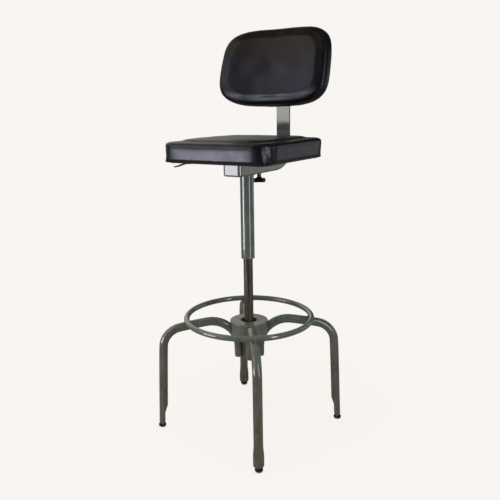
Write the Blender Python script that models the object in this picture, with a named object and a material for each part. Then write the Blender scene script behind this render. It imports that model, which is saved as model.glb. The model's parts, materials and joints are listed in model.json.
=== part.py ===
"""Drafting stool with a foot ring, a swivel seat and an adjustable backrest.

Metres, +Z up. The column's axis is X = Y = 0, the floor is Z = 0 and the sitter faces -Y.
"""

from math import atan2, cos, pi, radians, sin, sqrt, tan

import bmesh
import bpy
from mathutils import Matrix, Vector

# Clearances: pieces that seat, pieces that run, a loose hole, and how far a cutter runs past
SEAT_GAP = 0.0003
RUN_GAP = 0.0004
LOOSE_GAP = 0.0012
CUT_PAST = 0.0100
JOIN_DEPTH = 0.0010

# Legs: one bent tube each, upright at the hub, arched, sloping out and turned down at the knee
LEG_COUNT = 4
LEG_AZIMUTH = radians(37.3)
LEG_NAMES = ("leg_front", "leg_right", "leg_back", "leg_left")
LEG_TUBE_R = 0.0127
LEG_INNER_R = 0.0310
LEG_INNER_END_Z = 0.2165
ARCH_RADIUS = 0.0800
ARCH_TOP_Z = 0.3285
RUN_FALL = radians(10.5)
KNEE_RADIUS = 0.0635
FOOT_RADIUS = 0.2625
LEG_SPLAY = radians(2.26)
LEG_SIDES = 18
LEG_WALL = 0.0015

# Foot of a leg: the tube is pressed flat from its inner side and necked down to the glide
PRESS_TOP_Z = 0.0700
PRESS_FULL_Z = 0.0450
PRESS_INNER = 0.0049
PRESS_SPREAD = 0.0150
NECK_TOP_Z = 0.0165
NECK_SPREAD = 0.0105
NECK_INSET = 0.0022

# Glides: a nickel dome on a stem, with a rubber pad between it and the tube
GLIDE_R = 0.0105
GLIDE_FLAT_R = 0.0060
GLIDE_HEIGHT = 0.0045
GLIDE_EDGE = 0.0015
GLIDE_STEM_R = 0.0030
GLIDE_STEM_TOP_Z = 0.0260
PAD_R = 0.0112
PAD_HEIGHT = 0.0048

# Foot ring: a rod bent to a circle that lies on the legs' runs
RING_RADIUS = 0.1810
RING_ROD_R = 0.0079

# Hub: a pressed drum over the legs' inner ends, and a sleeve between them
DRUM_TOP_Z = 0.3290
DRUM_HEIGHT = 0.0385
DRUM_TOP_R = 0.0550
DRUM_BOTTOM_R = 0.0532
DRUM_WALL = 0.0030
DRUM_HOLE_R = 0.0235
DRUM_RIM = 0.0026
SLEEVE_TOP_Z = 0.3160

# Post, the fixed inner tube
POST_R = 0.0133
POST_WALL = 0.0025
POST_TOP_Z = 0.5980
POST_CHAMFER = 0.0010

# Column, the outer tube that carries the seat
COLUMN_R = 0.01905
COLUMN_WALL = 0.00165
COLUMN_BOTTOM_Z = 0.5140
COLUMN_ROLL = 0.0024
BUSH_RECESS = 0.0010
LOWER_BUSH_HEIGHT = 0.0180
LOCK_HEIGHT = 0.0220
LOCK_SLIT = radians(14)
LOCK_CLEARANCE = 0.0015
LOCK_SIDE_GAP = 0.0005
WASHER_HEIGHT = 0.0025
UPPER_BUSH_HEIGHT = 0.0160
ROUND_STEPS = 30
HIDDEN_STEPS = 22
SMALL_STEPS = 14
SCREW_STEPS = 10

# Channel under the seat
CHANNEL_BOTTOM_Z = 0.7525
CHANNEL_HALF_WIDTH = 0.0285
CHANNEL_FRONT_Y = -0.0760
CHANNEL_REAR_Y = 0.1790
CHANNEL_WALL = 0.0025
CHANNEL_CORNER = 0.0070
CHANNEL_EDGE = 0.0035
CHANNEL_SHOULDER = 0.0030
FLANGE_WIDTH = 0.0215
FLANGE_REAR_Y = 0.1380
TAPER_START_Y = 0.1080
TAPER_RISE = 0.0190

# Seat: a plywood board wrapped by a foam cushion
SEAT_BOTTOM_Z = 0.7935
SEAT_WIDTH = 0.3350
SEAT_DEPTH = 0.3320
SEAT_CENTRE_Y = -0.0080
SEAT_CORNER = 0.0420
CUSHION_HEIGHT = 0.0585
CUSHION_CROWN = 0.0030
BOARD_INSET = 0.0130
BOARD_THICKNESS = 0.0120

# Seat screws and the lever's bolt
SCREW_HEAD_R = 0.0048
SCREW_HEAD_HEIGHT = 0.0024
SCREW_SHANK_R = 0.0021
SCREW_LENGTH = 0.0120
SEAT_SCREW_X = 0.0400
SEAT_SCREW_INSET = 0.0200

# Height lever, a flat bar that swings under the seat
LEVER_PIVOT = Vector((-0.0400, -0.0330))
LEVER_THICKNESS = 0.0030
LEVER_WIDTH = 0.0150
LEVER_BELOW_SEAT = 0.0072
LEVER_DROP = 0.0042
LEVER_BEND_START = 0.80
LEVER_TIP = Vector((-0.1300, -0.1560))
LEVER_CAM = Vector((-0.0130, -0.0210))
LEVER_SLOT_FRONT = 0.0170
LEVER_SLOT_REAR = 0.0240
BOLT_R = 0.0035
BOLT_THREAD_R = 0.0030
BOLT_HEAD_R = 0.0065
BOLT_HEAD_HEIGHT = 0.0028

# Height of the backrest's hinge
BACK_PIVOT_Z = 1.0000

# Back strap: a flat bar from the channel, bent up behind the seat
STRAP_WIDTH = 0.0445
STRAP_THICKNESS = 0.0050
STRAP_FRONT_END_Y = 0.0300
STRAP_Y = 0.2050
STRAP_BEND = 0.0575
STRAP_ABOVE_PIVOT = 0.0300
STRAP_END_ROUND = 0.0070
STRAP_EDGE = 0.0006

# Saddle that holds the strap down in the channel
SADDLE_FRONT_Y = 0.0365
SADDLE_LENGTH = 0.0560
SADDLE_WEB = 0.0050
SADDLE_EDGE = 0.0026

# Clamping knobs: a T bar on a round neck, moulded on a stud
KNOB_Y = 0.0645
KNOB_TURN = radians(33)
KNOB_HALF_LENGTH = 0.0183
KNOB_HALF_WIDTH = 0.0068
KNOB_BAR_HEIGHT = 0.0115
KNOB_NECK_R = 0.0057
KNOB_EDGE = 0.0015
KNOB_GAP = 0.0005
SEAT_KNOB_NECK = 0.0172
BACK_KNOB_NECK = 0.0070
STUD_R = 0.0032
STUD_IN_KNOB = 0.0120

# Slide on the strap, with the barrel of the backrest's hinge
SLIDE_HEIGHT = 0.0400
SLIDE_WALL = 0.0025
BARREL_R = 0.0050
BARREL_SINK = 0.0013
EAR_CLEARANCE = 0.0018
PIN_R = 0.0030
PIN_HEAD_R = 0.0055
PIN_HEAD_HEIGHT = 0.0020

# Backrest: a curved padded panel with a board in its back
BACK_LEAN = radians(14.3)
BACK_WIDTH = 0.3500
BACK_HEIGHT = 0.2210
BACK_THICKNESS = 0.0420
BACK_POWER = 3.8
BACK_TAPER = 0.036
BACK_BOW_RADIUS = 0.7350
BACK_STANDOFF = 0.0208
BACK_RISE = 0.0334
BACK_FRONT_ROLL = 0.0220
BACK_REAR_ROLL = 0.0060
BACK_CROWN = 0.0030
BACK_BOARD_INSET = 0.0150
BACK_BOARD_THICKNESS = 0.0060
BACK_POINTS = 56

# Hinge bracket on the back board
PLATE_THICKNESS = 0.0025
PLATE_HALF_HEIGHT = 0.0280
PLATE_EDGE = 0.0008
EAR_FOOT_HALF = 0.0170
EAR_END_R = 0.0078
BRACKET_SCREW_Z = 0.0200
BRACKET_SCREW_X = 0.0130

# Sizes that follow from the ones above
STRAP_HALF = STRAP_WIDTH / 2
STRAP_TOP_Z = BACK_PIVOT_Z + STRAP_ABOVE_PIVOT
LEVER_Z = SEAT_BOTTOM_Z - LEVER_BELOW_SEAT
SEAT_SCREW_YS = (CHANNEL_FRONT_Y + SEAT_SCREW_INSET, FLANGE_REAR_Y - SEAT_SCREW_INSET)
CHANNEL_TOP_Z = SEAT_BOTTOM_Z - SEAT_GAP
STRAP_BOTTOM_Z = CHANNEL_BOTTOM_Z + CHANNEL_WALL + SEAT_GAP
FOOT_END_Z = GLIDE_HEIGHT + PAD_HEIGHT + 2 * SEAT_GAP
SLEEVE_R = LEG_INNER_R - LEG_TUBE_R - SEAT_GAP
COLUMN_BORE_R = COLUMN_R - COLUMN_WALL
COLUMN_TOP_Z = CHANNEL_BOTTOM_Z - SEAT_GAP
BUSH_R = COLUMN_BORE_R - SEAT_GAP
SLIDING_BORE_R = POST_R + SEAT_GAP
BUSH_BOTTOM_Z = COLUMN_BOTTOM_Z + BUSH_RECESS
LOCK_BOTTOM_Z = BUSH_BOTTOM_Z + LOWER_BUSH_HEIGHT + LOCK_CLEARANCE
WASHER_BOTTOM_Z = LOCK_BOTTOM_Z + LOCK_HEIGHT + SEAT_GAP
UPPER_BUSH_BOTTOM_Z = WASHER_BOTTOM_Z + WASHER_HEIGHT + SEAT_GAP
PIVOT_Y = STRAP_Y - STRAP_THICKNESS / 2 - SEAT_GAP - SLIDE_WALL - BARREL_R + BARREL_SINK
SLIDE_HALF_WIDTH = STRAP_HALF + SEAT_GAP + SLIDE_WALL
BARREL_HALF = SLIDE_HALF_WIDTH + EAR_CLEARANCE
EAR_INNER_X = BARREL_HALF + RUN_GAP
EAR_OUTER_X = EAR_INNER_X + PLATE_THICKNESS


def hex_colour(text):
    """Linear RGBA of an sRGB hex colour."""
    values = []
    for i in (1, 3, 5):
        c = int(text[i : i + 2], 16) / 255
        values.append(c / 12.92 if c <= 0.04045 else ((c + 0.055) / 1.055) ** 2.4)
    return (*values, 1.0)


def make_material(name, colour, roughness, metallic=0.0):
    material = bpy.data.materials.new(name)
    material.use_nodes = True
    shader = material.node_tree.nodes["Principled BSDF"]
    shader.inputs["Base Color"].default_value = hex_colour(colour)
    shader.inputs["Roughness"].default_value = roughness
    shader.inputs["Metallic"].default_value = metallic
    material.diffuse_color = hex_colour(colour)
    return material


def make_materials():
    return {
        "enamel": make_material("green_grey_enamel", "#5E645B", 0.32),
        "drum": make_material("hub_enamel", "#7A7F78", 0.40),
        "worn": make_material("worn_steel", "#57554D", 0.38, 0.85),
        "vinyl": make_material("black_vinyl", "#1C1D20", 0.42),
        "plastic": make_material("black_plastic", "#0D0D0E", 0.30),
        "rubber": make_material("black_rubber", "#161617", 0.75),
        "nickel": make_material("nickel_plate", "#B9B6AE", 0.22, 1.0),
        "zinc": make_material("zinc_steel", "#A5A6A3", 0.35, 1.0),
        "nylon": make_material("nylon", "#D9D6CC", 0.50),
        "plywood": make_material("plywood", "#B08B5C", 0.65),
        "black_board": make_material("black_board", "#17181A", 0.60),
    }


def home_of(body):
    """World place of a body's empty."""
    return Vector(tuple(body["world"]))


def make_body(name, place, parent=None, lean=0.0):
    """An empty on a body's joint axis; its pieces hang from it."""
    body = bpy.data.objects.new(name, None)
    body.empty_display_size = 0.03
    bpy.context.scene.collection.objects.link(body)
    body.parent = parent
    body["world"] = place
    home = home_of(parent) if parent else Vector()
    body.location = Vector(place) - home
    body.rotation_euler.x = -lean
    return body


def finish_piece(name, bm, material, body, place=(0, 0, 0), turn=0.0):
    """Mesh object from bm, hung from a body's empty at a place given in the world."""
    bmesh.ops.recalc_face_normals(bm, faces=bm.faces)
    mesh = bpy.data.meshes.new(name)
    bm.to_mesh(mesh)
    bm.free()
    mesh.materials.append(material)
    return place_mesh(name, mesh, body, place, turn)


def place_mesh(name, mesh, body, place=(0, 0, 0), turn=0.0):
    mesh.shade_smooth()
    mesh.set_sharp_from_angle(angle=radians(32))
    piece = bpy.data.objects.new(name, mesh)
    bpy.context.scene.collection.objects.link(piece)
    piece.parent = body
    piece.location = Vector(place) - home_of(body)
    piece.rotation_euler.z = turn
    return piece


def lathe(profile, steps=ROUND_STEPS, angle=2 * pi):
    """Revolve (radius, z) points about Z. A profile that starts and ends on the axis is open."""
    bm = bmesh.new()
    verts = [bm.verts.new((r, 0, z)) for r, z in profile]
    on_axis = profile[0][0] == 0
    pairs = list(zip(verts, verts[1:]))
    if not on_axis:
        pairs.append((verts[-1], verts[0]))
    edges = [bm.edges.new(pair) for pair in pairs]
    whole = angle > 2 * pi - 1e-6
    swept = bmesh.ops.spin(
        bm, geom=verts + edges, cent=(0, 0, 0), axis=(0, 0, 1), angle=angle, steps=steps, use_merge=whole
    )
    if not whole:
        last = [v for v in swept["geom_last"] if isinstance(v, bmesh.types.BMVert)]
        bm.faces.new(verts)
        bm.faces.new(last)
    bmesh.ops.remove_doubles(bm, verts=bm.verts, dist=1e-7)
    return bm


def tube_profile(outer, inner, bottom, top):
    return [(outer, bottom), (outer, top), (inner, top), (inner, bottom)]


def loft(rings):
    """Skin rings of points that match one to one. A ring of one point closes an end as a fan."""
    bm = bmesh.new()
    rows = [[bm.verts.new(p) for p in ring] for ring in rings]
    for a, b in zip(rows, rows[1:]):
        count = max(len(a), len(b))
        for i in range(count):
            j = (i + 1) % count
            if len(a) == 1:
                bm.faces.new((a[0], b[j], b[i]))
            elif len(b) == 1:
                bm.faces.new((a[i], a[j], b[0]))
            else:
                bm.faces.new((a[i], a[j], b[j], b[i]))
    for row in (rows[0], rows[-1]):
        if len(row) > 1:
            bm.faces.new(row)
    return bm


def box(low, high, edge=0.0):
    bm = bmesh.new()
    bmesh.ops.create_cube(bm, size=1.0)
    for v in bm.verts:
        v.co = Vector([lo + (c + 0.5) * (hi - lo) for c, lo, hi in zip(v.co, low, high)])
    if edge:
        bmesh.ops.bevel(bm, geom=bm.edges[:], offset=edge, segments=2, affect="EDGES", profile=0.5)
    return bm


def rounded_rectangle(half_x, half_y, radius, corner_steps, side_steps=1):
    """Points round a rectangle with arcs for corners, with extra points along its sides."""
    points = []
    corners = ((1, 1, 0), (-1, 1, 90), (-1, -1, 180), (1, -1, 270))
    for sx, sy, start in corners:
        cx = sx * (half_x - radius)
        cy = sy * (half_y - radius)
        for i in range(corner_steps + 1):
            a = radians(start + 90 * i / corner_steps)
            points.append(Vector((cx + radius * cos(a), cy + radius * sin(a))))
    if side_steps == 1:
        return points
    full = []
    per = corner_steps + 1
    for k, p in enumerate(points):
        full.append(p)
        if (k + 1) % per == 0:
            q = points[(k + 1) % len(points)]
            full += [p.lerp(q, i / side_steps) for i in range(1, side_steps)]
    return full


def cut(piece, cutter):
    """Take a cutter's shape out of a piece, and keep the cutter as a wire guide."""
    cutter.hide_render = True
    cutter.display_type = "WIRE"
    boolean = piece.modifiers.new("cut_" + cutter.name, "BOOLEAN")
    boolean.operation = "DIFFERENCE"
    boolean.object = cutter


def cylinder(radius, bottom, top, steps=16):
    return lathe([(0, bottom), (radius, bottom), (radius, top), (0, top)], steps)


def leg_path():
    """Centreline of a leg in its own plane, as (radius, z, direction), from hub to foot."""
    centre_r = LEG_INNER_R + ARCH_RADIUS
    centre_z = ARCH_TOP_Z - ARCH_RADIUS
    path = [(LEG_INNER_R, LEG_INNER_END_Z, pi / 2)]
    arch_steps = 8
    for i in range(arch_steps + 1):
        a = pi - (pi / 2 + RUN_FALL) * i / arch_steps
        path.append((centre_r + ARCH_RADIUS * cos(a), centre_z + ARCH_RADIUS * sin(a), a - pi / 2))
    start_r, start_z, _ = path[-1]
    # The run meets the leg's line at the knee's corner
    slope = tan(RUN_FALL)
    splay = tan(LEG_SPLAY)
    corner_z = (start_z + slope * (start_r - FOOT_RADIUS)) / (1 - slope * splay)
    corner_r = FOOT_RADIUS - splay * corner_z
    turn = pi / 2 - RUN_FALL - LEG_SPLAY
    reach = KNEE_RADIUS * tan(turn / 2)
    knee_r = corner_r - reach * cos(RUN_FALL)
    knee_z = corner_z + reach * sin(RUN_FALL)
    bend_r = knee_r - KNEE_RADIUS * sin(RUN_FALL)
    bend_z = knee_z - KNEE_RADIUS * cos(RUN_FALL)
    knee_steps = 6
    for i in range(knee_steps + 1):
        a = pi / 2 - RUN_FALL - turn * i / knee_steps
        path.append((bend_r + KNEE_RADIUS * cos(a), bend_z + KNEE_RADIUS * sin(a), a - pi / 2))
    for z in (PRESS_TOP_Z, PRESS_FULL_Z, NECK_TOP_Z, FOOT_END_Z):
        path.append((FOOT_RADIUS - splay * z, z, -pi / 2))
    return path


def leg_ring(r, z, heading, grow=0.0, radius=LEG_TUBE_R):
    """Section of a leg at a point of its centreline, pressed and necked near the floor."""
    pressed = min(max((PRESS_TOP_Z - z) / (PRESS_TOP_Z - PRESS_FULL_Z), 0), 1)
    necked = 1 if z < NECK_TOP_Z - 1e-6 else 0
    outer = radius + grow - NECK_INSET * necked
    inner = outer + (PRESS_INNER - LEG_TUBE_R) * pressed
    spread = radius + grow + (PRESS_SPREAD - LEG_TUBE_R) * pressed
    spread += (NECK_SPREAD - PRESS_SPREAD) * necked
    ring = []
    for i in range(LEG_SIDES):
        a = 2 * pi * i / LEG_SIDES
        across = cos(a) * (outer if cos(a) > 0 else inner)
        ring.append(Vector((r - sin(heading) * across, spread * sin(a), z + cos(heading) * across)))
    return ring


def make_legs(body, enamel):
    path = leg_path()
    # The bore runs from the foot's pressed part back to the open inner end, and the skin follows it
    bored = [point for point in path if point[1] > PRESS_TOP_Z - GLIDE_HEIGHT]
    rings = [leg_ring(*point, radius=LEG_TUBE_R - LEG_WALL) for point in reversed(bored)]
    rings += [leg_ring(*point) for point in path]
    # The foot has a socket for the glide's stem
    rings += [socket_ring(FOOT_END_Z), socket_ring(GLIDE_STEM_TOP_Z + SEAT_GAP)]
    first = finish_piece(LEG_NAMES[0], loft(rings), enamel, body, turn=LEG_AZIMUTH - pi / 2)
    legs = [first]
    for i, name in enumerate(LEG_NAMES[1:], 1):
        leg = place_mesh(name, first.data, body, turn=LEG_AZIMUTH - pi / 2 + 2 * pi * i / LEG_COUNT)
        legs.append(leg)
    return legs


def glide_centre():
    """Radius at which a glide stands: the middle of the pressed foot."""
    outer = LEG_TUBE_R - NECK_INSET
    inner = outer + PRESS_INNER - LEG_TUBE_R
    return FOOT_RADIUS - tan(LEG_SPLAY) * FOOT_END_Z + (outer - inner) / 2


def socket_ring(z):
    centre = glide_centre()
    radius = GLIDE_STEM_R + SEAT_GAP
    ring = []
    for i in range(LEG_SIDES):
        a = 2 * pi * i / LEG_SIDES
        ring.append(Vector((centre + radius * cos(a), radius * sin(a), z)))
    return ring


def make_glides(body, materials):
    """A domed glide and a rubber pad under each leg."""
    dome = [
        (0, 0),
        (GLIDE_FLAT_R, 0),
        (GLIDE_R - GLIDE_EDGE, GLIDE_EDGE * 0.8),
        (GLIDE_R, GLIDE_EDGE * 1.8),
        (GLIDE_R, GLIDE_HEIGHT),
        (GLIDE_STEM_R, GLIDE_HEIGHT),
        (GLIDE_STEM_R, GLIDE_STEM_TOP_Z),
        (0, GLIDE_STEM_TOP_Z),
    ]
    pad_bottom = GLIDE_HEIGHT + SEAT_GAP
    pad_top = pad_bottom + PAD_HEIGHT
    bulge = PAD_R * 0.94
    pad = [
        (bulge, pad_bottom),
        (PAD_R, (pad_bottom + pad_top) / 2),
        (bulge, pad_top),
        (GLIDE_STEM_R + SEAT_GAP, pad_top),
        (GLIDE_STEM_R + SEAT_GAP, pad_bottom),
    ]
    for i, leg in enumerate(LEG_NAMES):
        a = LEG_AZIMUTH - pi / 2 + 2 * pi * i / LEG_COUNT
        place = (glide_centre() * cos(a), glide_centre() * sin(a), 0)
        side = leg.split("_")[1]
        finish_piece("glide_" + side, lathe(dome, SMALL_STEPS), materials["nickel"], body, place)
        finish_piece("foot_pad_" + side, lathe(pad, SMALL_STEPS), materials["rubber"], body, place)


def run_height(radius):
    """Height of the leg's centreline on its straight run."""
    start_r = LEG_INNER_R + ARCH_RADIUS * (1 + sin(RUN_FALL))
    start_z = ARCH_TOP_Z - ARCH_RADIUS * (1 - cos(RUN_FALL))
    return start_z - (radius - start_r) * tan(RUN_FALL)


def make_foot_ring(body, enamel):
    lift = (LEG_TUBE_R + RING_ROD_R + SEAT_GAP) / cos(RUN_FALL)
    ring_z = run_height(RING_RADIUS) + lift
    sides = 10
    profile = []
    for i in range(sides):
        a = 2 * pi * i / sides
        profile.append((RING_RADIUS + RING_ROD_R * cos(a), RING_ROD_R * sin(a)))
    finish_piece("foot_ring", lathe(profile, 48), enamel, body, (0, 0, ring_z))


def make_hub(body, materials, legs):
    bottom = DRUM_TOP_Z - DRUM_HEIGHT
    profile = [
        (DRUM_BOTTOM_R, bottom),
        (DRUM_TOP_R, DRUM_TOP_Z - DRUM_RIM),
        (DRUM_TOP_R - 0.3 * DRUM_RIM, DRUM_TOP_Z - 0.3 * DRUM_RIM),
        (DRUM_TOP_R - DRUM_RIM, DRUM_TOP_Z),
        (DRUM_HOLE_R, DRUM_TOP_Z),
        (DRUM_HOLE_R, DRUM_TOP_Z - DRUM_WALL),
        (DRUM_TOP_R - DRUM_WALL, DRUM_TOP_Z - DRUM_WALL),
        (DRUM_BOTTOM_R - DRUM_WALL, bottom),
    ]
    drum = finish_piece("hub_drum", lathe(profile), materials["drum"], body)
    # Each leg enters through a notch in the drum's wall
    arch = leg_path()[:8]
    for i, leg in enumerate(legs):
        rings = [leg_ring(r, z, heading, grow=SEAT_GAP) for r, z, heading in arch]
        name = leg.name.replace("leg", "leg_notch")
        turn = LEG_AZIMUTH - pi / 2 + 2 * pi * i / LEG_COUNT
        cut(drum, finish_piece(name, loft(rings), materials["drum"], body, turn=turn))
    sleeve = tube_profile(SLEEVE_R, SLIDING_BORE_R, LEG_INNER_END_Z, SLEEVE_TOP_Z)
    finish_piece("hub_sleeve", lathe(sleeve, HIDDEN_STEPS), materials["enamel"], body)


def make_post(body, worn):
    bore = POST_R - POST_WALL
    profile = [
        (POST_R, LEG_INNER_END_Z),
        (POST_R, POST_TOP_Z - POST_CHAMFER),
        (POST_R - POST_CHAMFER, POST_TOP_Z),
        (bore, POST_TOP_Z),
        (bore, LEG_INNER_END_Z),
    ]
    finish_piece("post", lathe(profile), worn, body)


def make_height_lock(body, materials):
    """Split collar that grips the post, and the washer that the seat turns on."""
    outer = COLUMN_BORE_R - LOCK_SIDE_GAP
    collar = tube_profile(outer, SLIDING_BORE_R, LOCK_BOTTOM_Z, LOCK_BOTTOM_Z + LOCK_HEIGHT)
    bm = lathe(collar, HIDDEN_STEPS, 2 * pi - LOCK_SLIT)
    finish_piece("lock_collar", bm, materials["zinc"], body)
    washer = tube_profile(outer, SLIDING_BORE_R, WASHER_BOTTOM_Z, WASHER_BOTTOM_Z + WASHER_HEIGHT)
    finish_piece("thrust_washer", lathe(washer, HIDDEN_STEPS), materials["nylon"], body)


def make_column(body, materials):
    profile = [
        (COLUMN_R - COLUMN_ROLL * 0.45, COLUMN_BOTTOM_Z),
        (COLUMN_R, COLUMN_BOTTOM_Z + COLUMN_ROLL),
        (COLUMN_R, COLUMN_TOP_Z),
        (COLUMN_BORE_R, COLUMN_TOP_Z),
        (COLUMN_BORE_R, COLUMN_BOTTOM_Z),
    ]
    finish_piece("column_tube", lathe(profile), materials["enamel"], body)
    lower = tube_profile(BUSH_R, SLIDING_BORE_R, BUSH_BOTTOM_Z, BUSH_BOTTOM_Z + LOWER_BUSH_HEIGHT)
    finish_piece("lower_bush", lathe(lower, HIDDEN_STEPS), materials["nylon"], body)
    top = UPPER_BUSH_BOTTOM_Z + UPPER_BUSH_HEIGHT
    upper = tube_profile(BUSH_R, SLIDING_BORE_R, UPPER_BUSH_BOTTOM_Z, top)
    finish_piece("upper_bush", lathe(upper, HIDDEN_STEPS), materials["nylon"], body)


def channel_rings(past_rear):
    """Rings of the pressed pan's sheet, from the flange's edge down to the flat bottom."""
    half = CHANNEL_HALF_WIDTH - CHANNEL_WALL / 2
    front = CHANNEL_FRONT_Y + CHANNEL_WALL / 2
    rear = CHANNEL_REAR_Y + past_rear
    middle = (front + rear) / 2
    half_y = (rear - front) / 2
    sheet_top = CHANNEL_TOP_Z - CHANNEL_WALL / 2
    sheet_bottom = CHANNEL_BOTTOM_Z + CHANNEL_WALL / 2
    rows = [(FLANGE_WIDTH, sheet_top)]
    for i in range(3):
        a = pi / 2 * i / 2
        rows.append((CHANNEL_SHOULDER * (1 - sin(a)), sheet_top - CHANNEL_SHOULDER * (1 - cos(a))))
    for i in range(4):
        a = pi / 2 * i / 3
        rows.append((-CHANNEL_EDGE * (1 - cos(a)), sheet_bottom + CHANNEL_EDGE * (1 - sin(a))))
    rings = []
    for out, z in rows:
        corner = max(CHANNEL_CORNER + out, CHANNEL_WALL / 2 + SEAT_GAP)
        outline = rounded_rectangle(half + out, half_y + out, corner, 4)
        rings.append([Vector((p.x, middle + p.y, z)) for p in outline])
    return rings


def make_channel(body, materials):
    """Pressed channel: a sheet pan with a flange, open at the rear where the strap comes out."""
    past_rear = FLANGE_WIDTH + 2 * CUT_PAST
    bm = loft(channel_rings(past_rear))
    flange_edge = max(bm.faces, key=lambda f: f.calc_center_median().z * (len(f.verts) > 4))
    bmesh.ops.delete(bm, geom=[flange_edge], context="FACES_ONLY")
    channel = finish_piece("seat_channel", bm, materials["enamel"], body)
    sheet = channel.modifiers.new("sheet", "SOLIDIFY")
    sheet.thickness = CHANNEL_WALL
    sheet.offset = 0.0
    sheet.use_even_offset = True
    # Rear end: cut square, with the side walls' lower edges rising to it
    wide = CHANNEL_HALF_WIDTH + FLANGE_WIDTH + CUT_PAST
    low = CHANNEL_BOTTOM_Z - CUT_PAST
    high = CHANNEL_TOP_Z + CUT_PAST
    far = CHANNEL_REAR_Y + past_rear + FLANGE_WIDTH + CUT_PAST
    run = CHANNEL_REAR_Y - TAPER_START_Y
    side = [Vector((0, TAPER_START_Y, low))]
    for i in range(7):
        t = i / 6
        z = CHANNEL_BOTTOM_Z - SEAT_GAP + (TAPER_RISE + SEAT_GAP) * t**2
        side.append(Vector((0, TAPER_START_Y + run * t, z)))
    side += [Vector((0, CHANNEL_REAR_Y, high)), Vector((0, far, high)), Vector((0, far, low))]
    rings = [[p + Vector((x, 0, 0)) for p in side] for x in (-wide, wide)]
    cut(channel, finish_piece("channel_rear_cutter", loft(rings), materials["enamel"], body))
    for side_sign, name in ((-1, "flange_cutter_left"), (1, "flange_cutter_right")):
        xs = sorted((side_sign * CHANNEL_HALF_WIDTH, side_sign * wide))
        low_corner = (xs[0], FLANGE_REAR_Y, CHANNEL_BOTTOM_Z)
        block = box(low_corner, (xs[1], far, high))
        cut(channel, finish_piece(name, block, materials["enamel"], body))
    hole = cylinder(STUD_R + SEAT_GAP, low, CHANNEL_BOTTOM_Z + CUT_PAST)
    cut(channel, finish_piece("stud_hole_cutter", hole, materials["enamel"], body, (0, KNOB_Y, 0)))
    half_slot = LEVER_THICKNESS / 2 + LOOSE_GAP
    outside = -CHANNEL_HALF_WIDTH - CHANNEL_WALL
    inside = -CHANNEL_HALF_WIDTH + 2 * CHANNEL_WALL
    slot = box(
        (outside, LEVER_PIVOT.y - LEVER_SLOT_FRONT, LEVER_Z - half_slot),
        (inside, LEVER_PIVOT.y + LEVER_SLOT_REAR, LEVER_Z + half_slot),
    )
    cut(channel, finish_piece("lever_slot_cutter", slot, materials["enamel"], body))
    bolt = cylinder(BOLT_THREAD_R + SEAT_GAP, CHANNEL_TOP_Z - CUT_PAST, high, SMALL_STEPS)
    place = (LEVER_PIVOT.x, LEVER_PIVOT.y, 0)
    cut(channel, finish_piece("bolt_hole_cutter", bolt, materials["enamel"], body, place))
    for k, (x, y) in enumerate(seat_screw_places(), 1):
        hole = cylinder(SCREW_SHANK_R + SEAT_GAP, CHANNEL_TOP_Z - CUT_PAST, high, SCREW_STEPS)
        cutter = finish_piece(f"screw_hole_cutter_{k}", hole, materials["enamel"], body, (x, y, 0))
        cut(channel, cutter)
    return channel


def seat_screw_places():
    return [(x, y) for y in SEAT_SCREW_YS for x in (-SEAT_SCREW_X, SEAT_SCREW_X)]


def make_strap_saddle(body, materials):
    """Inverted channel over the strap, fixed between the seat channel's walls."""
    half = CHANNEL_HALF_WIDTH - CHANNEL_WALL - SEAT_GAP
    slot_top = STRAP_BOTTOM_Z + STRAP_THICKNESS + SEAT_GAP
    rear = SADDLE_FRONT_Y + SADDLE_LENGTH
    low = (-half, SADDLE_FRONT_Y, STRAP_BOTTOM_Z)
    high = (half, rear, slot_top + SADDLE_WEB)
    saddle = finish_piece("strap_saddle", box(low, high, SADDLE_EDGE), materials["enamel"], body)
    slot = box(
        (-STRAP_HALF - SEAT_GAP, SADDLE_FRONT_Y - CUT_PAST, STRAP_BOTTOM_Z - CUT_PAST),
        (STRAP_HALF + SEAT_GAP, rear + CUT_PAST, slot_top),
    )
    cut(saddle, finish_piece("strap_slot_cutter", slot, materials["enamel"], body))


def board_outline(grow=0.0):
    half_x = SEAT_WIDTH / 2 - BOARD_INSET + grow
    half_y = SEAT_DEPTH / 2 - BOARD_INSET + grow
    return rounded_rectangle(half_x, half_y, SEAT_CORNER - BOARD_INSET + grow, 5, 4)


def make_seat_board(body, materials):
    outline = board_outline()
    rings = []
    for z in (SEAT_BOTTOM_Z, SEAT_BOTTOM_Z + BOARD_THICKNESS):
        rings.append([Vector((p.x, p.y, z)) for p in outline])
    place = (0, SEAT_CENTRE_Y, 0)
    board = finish_piece("seat_board", loft(rings), materials["plywood"], body, place)
    for k, (x, y) in enumerate(seat_screw_places(), 1):
        top = CHANNEL_TOP_Z - CHANNEL_WALL + SCREW_LENGTH + SEAT_GAP
        hole = cylinder(SCREW_SHANK_R + SEAT_GAP, SEAT_BOTTOM_Z - CUT_PAST, top, SCREW_STEPS)
        cutter = finish_piece(f"pilot_cutter_{k}", hole, materials["plywood"], body, (x, y, 0))
        cut(board, cutter)


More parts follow.
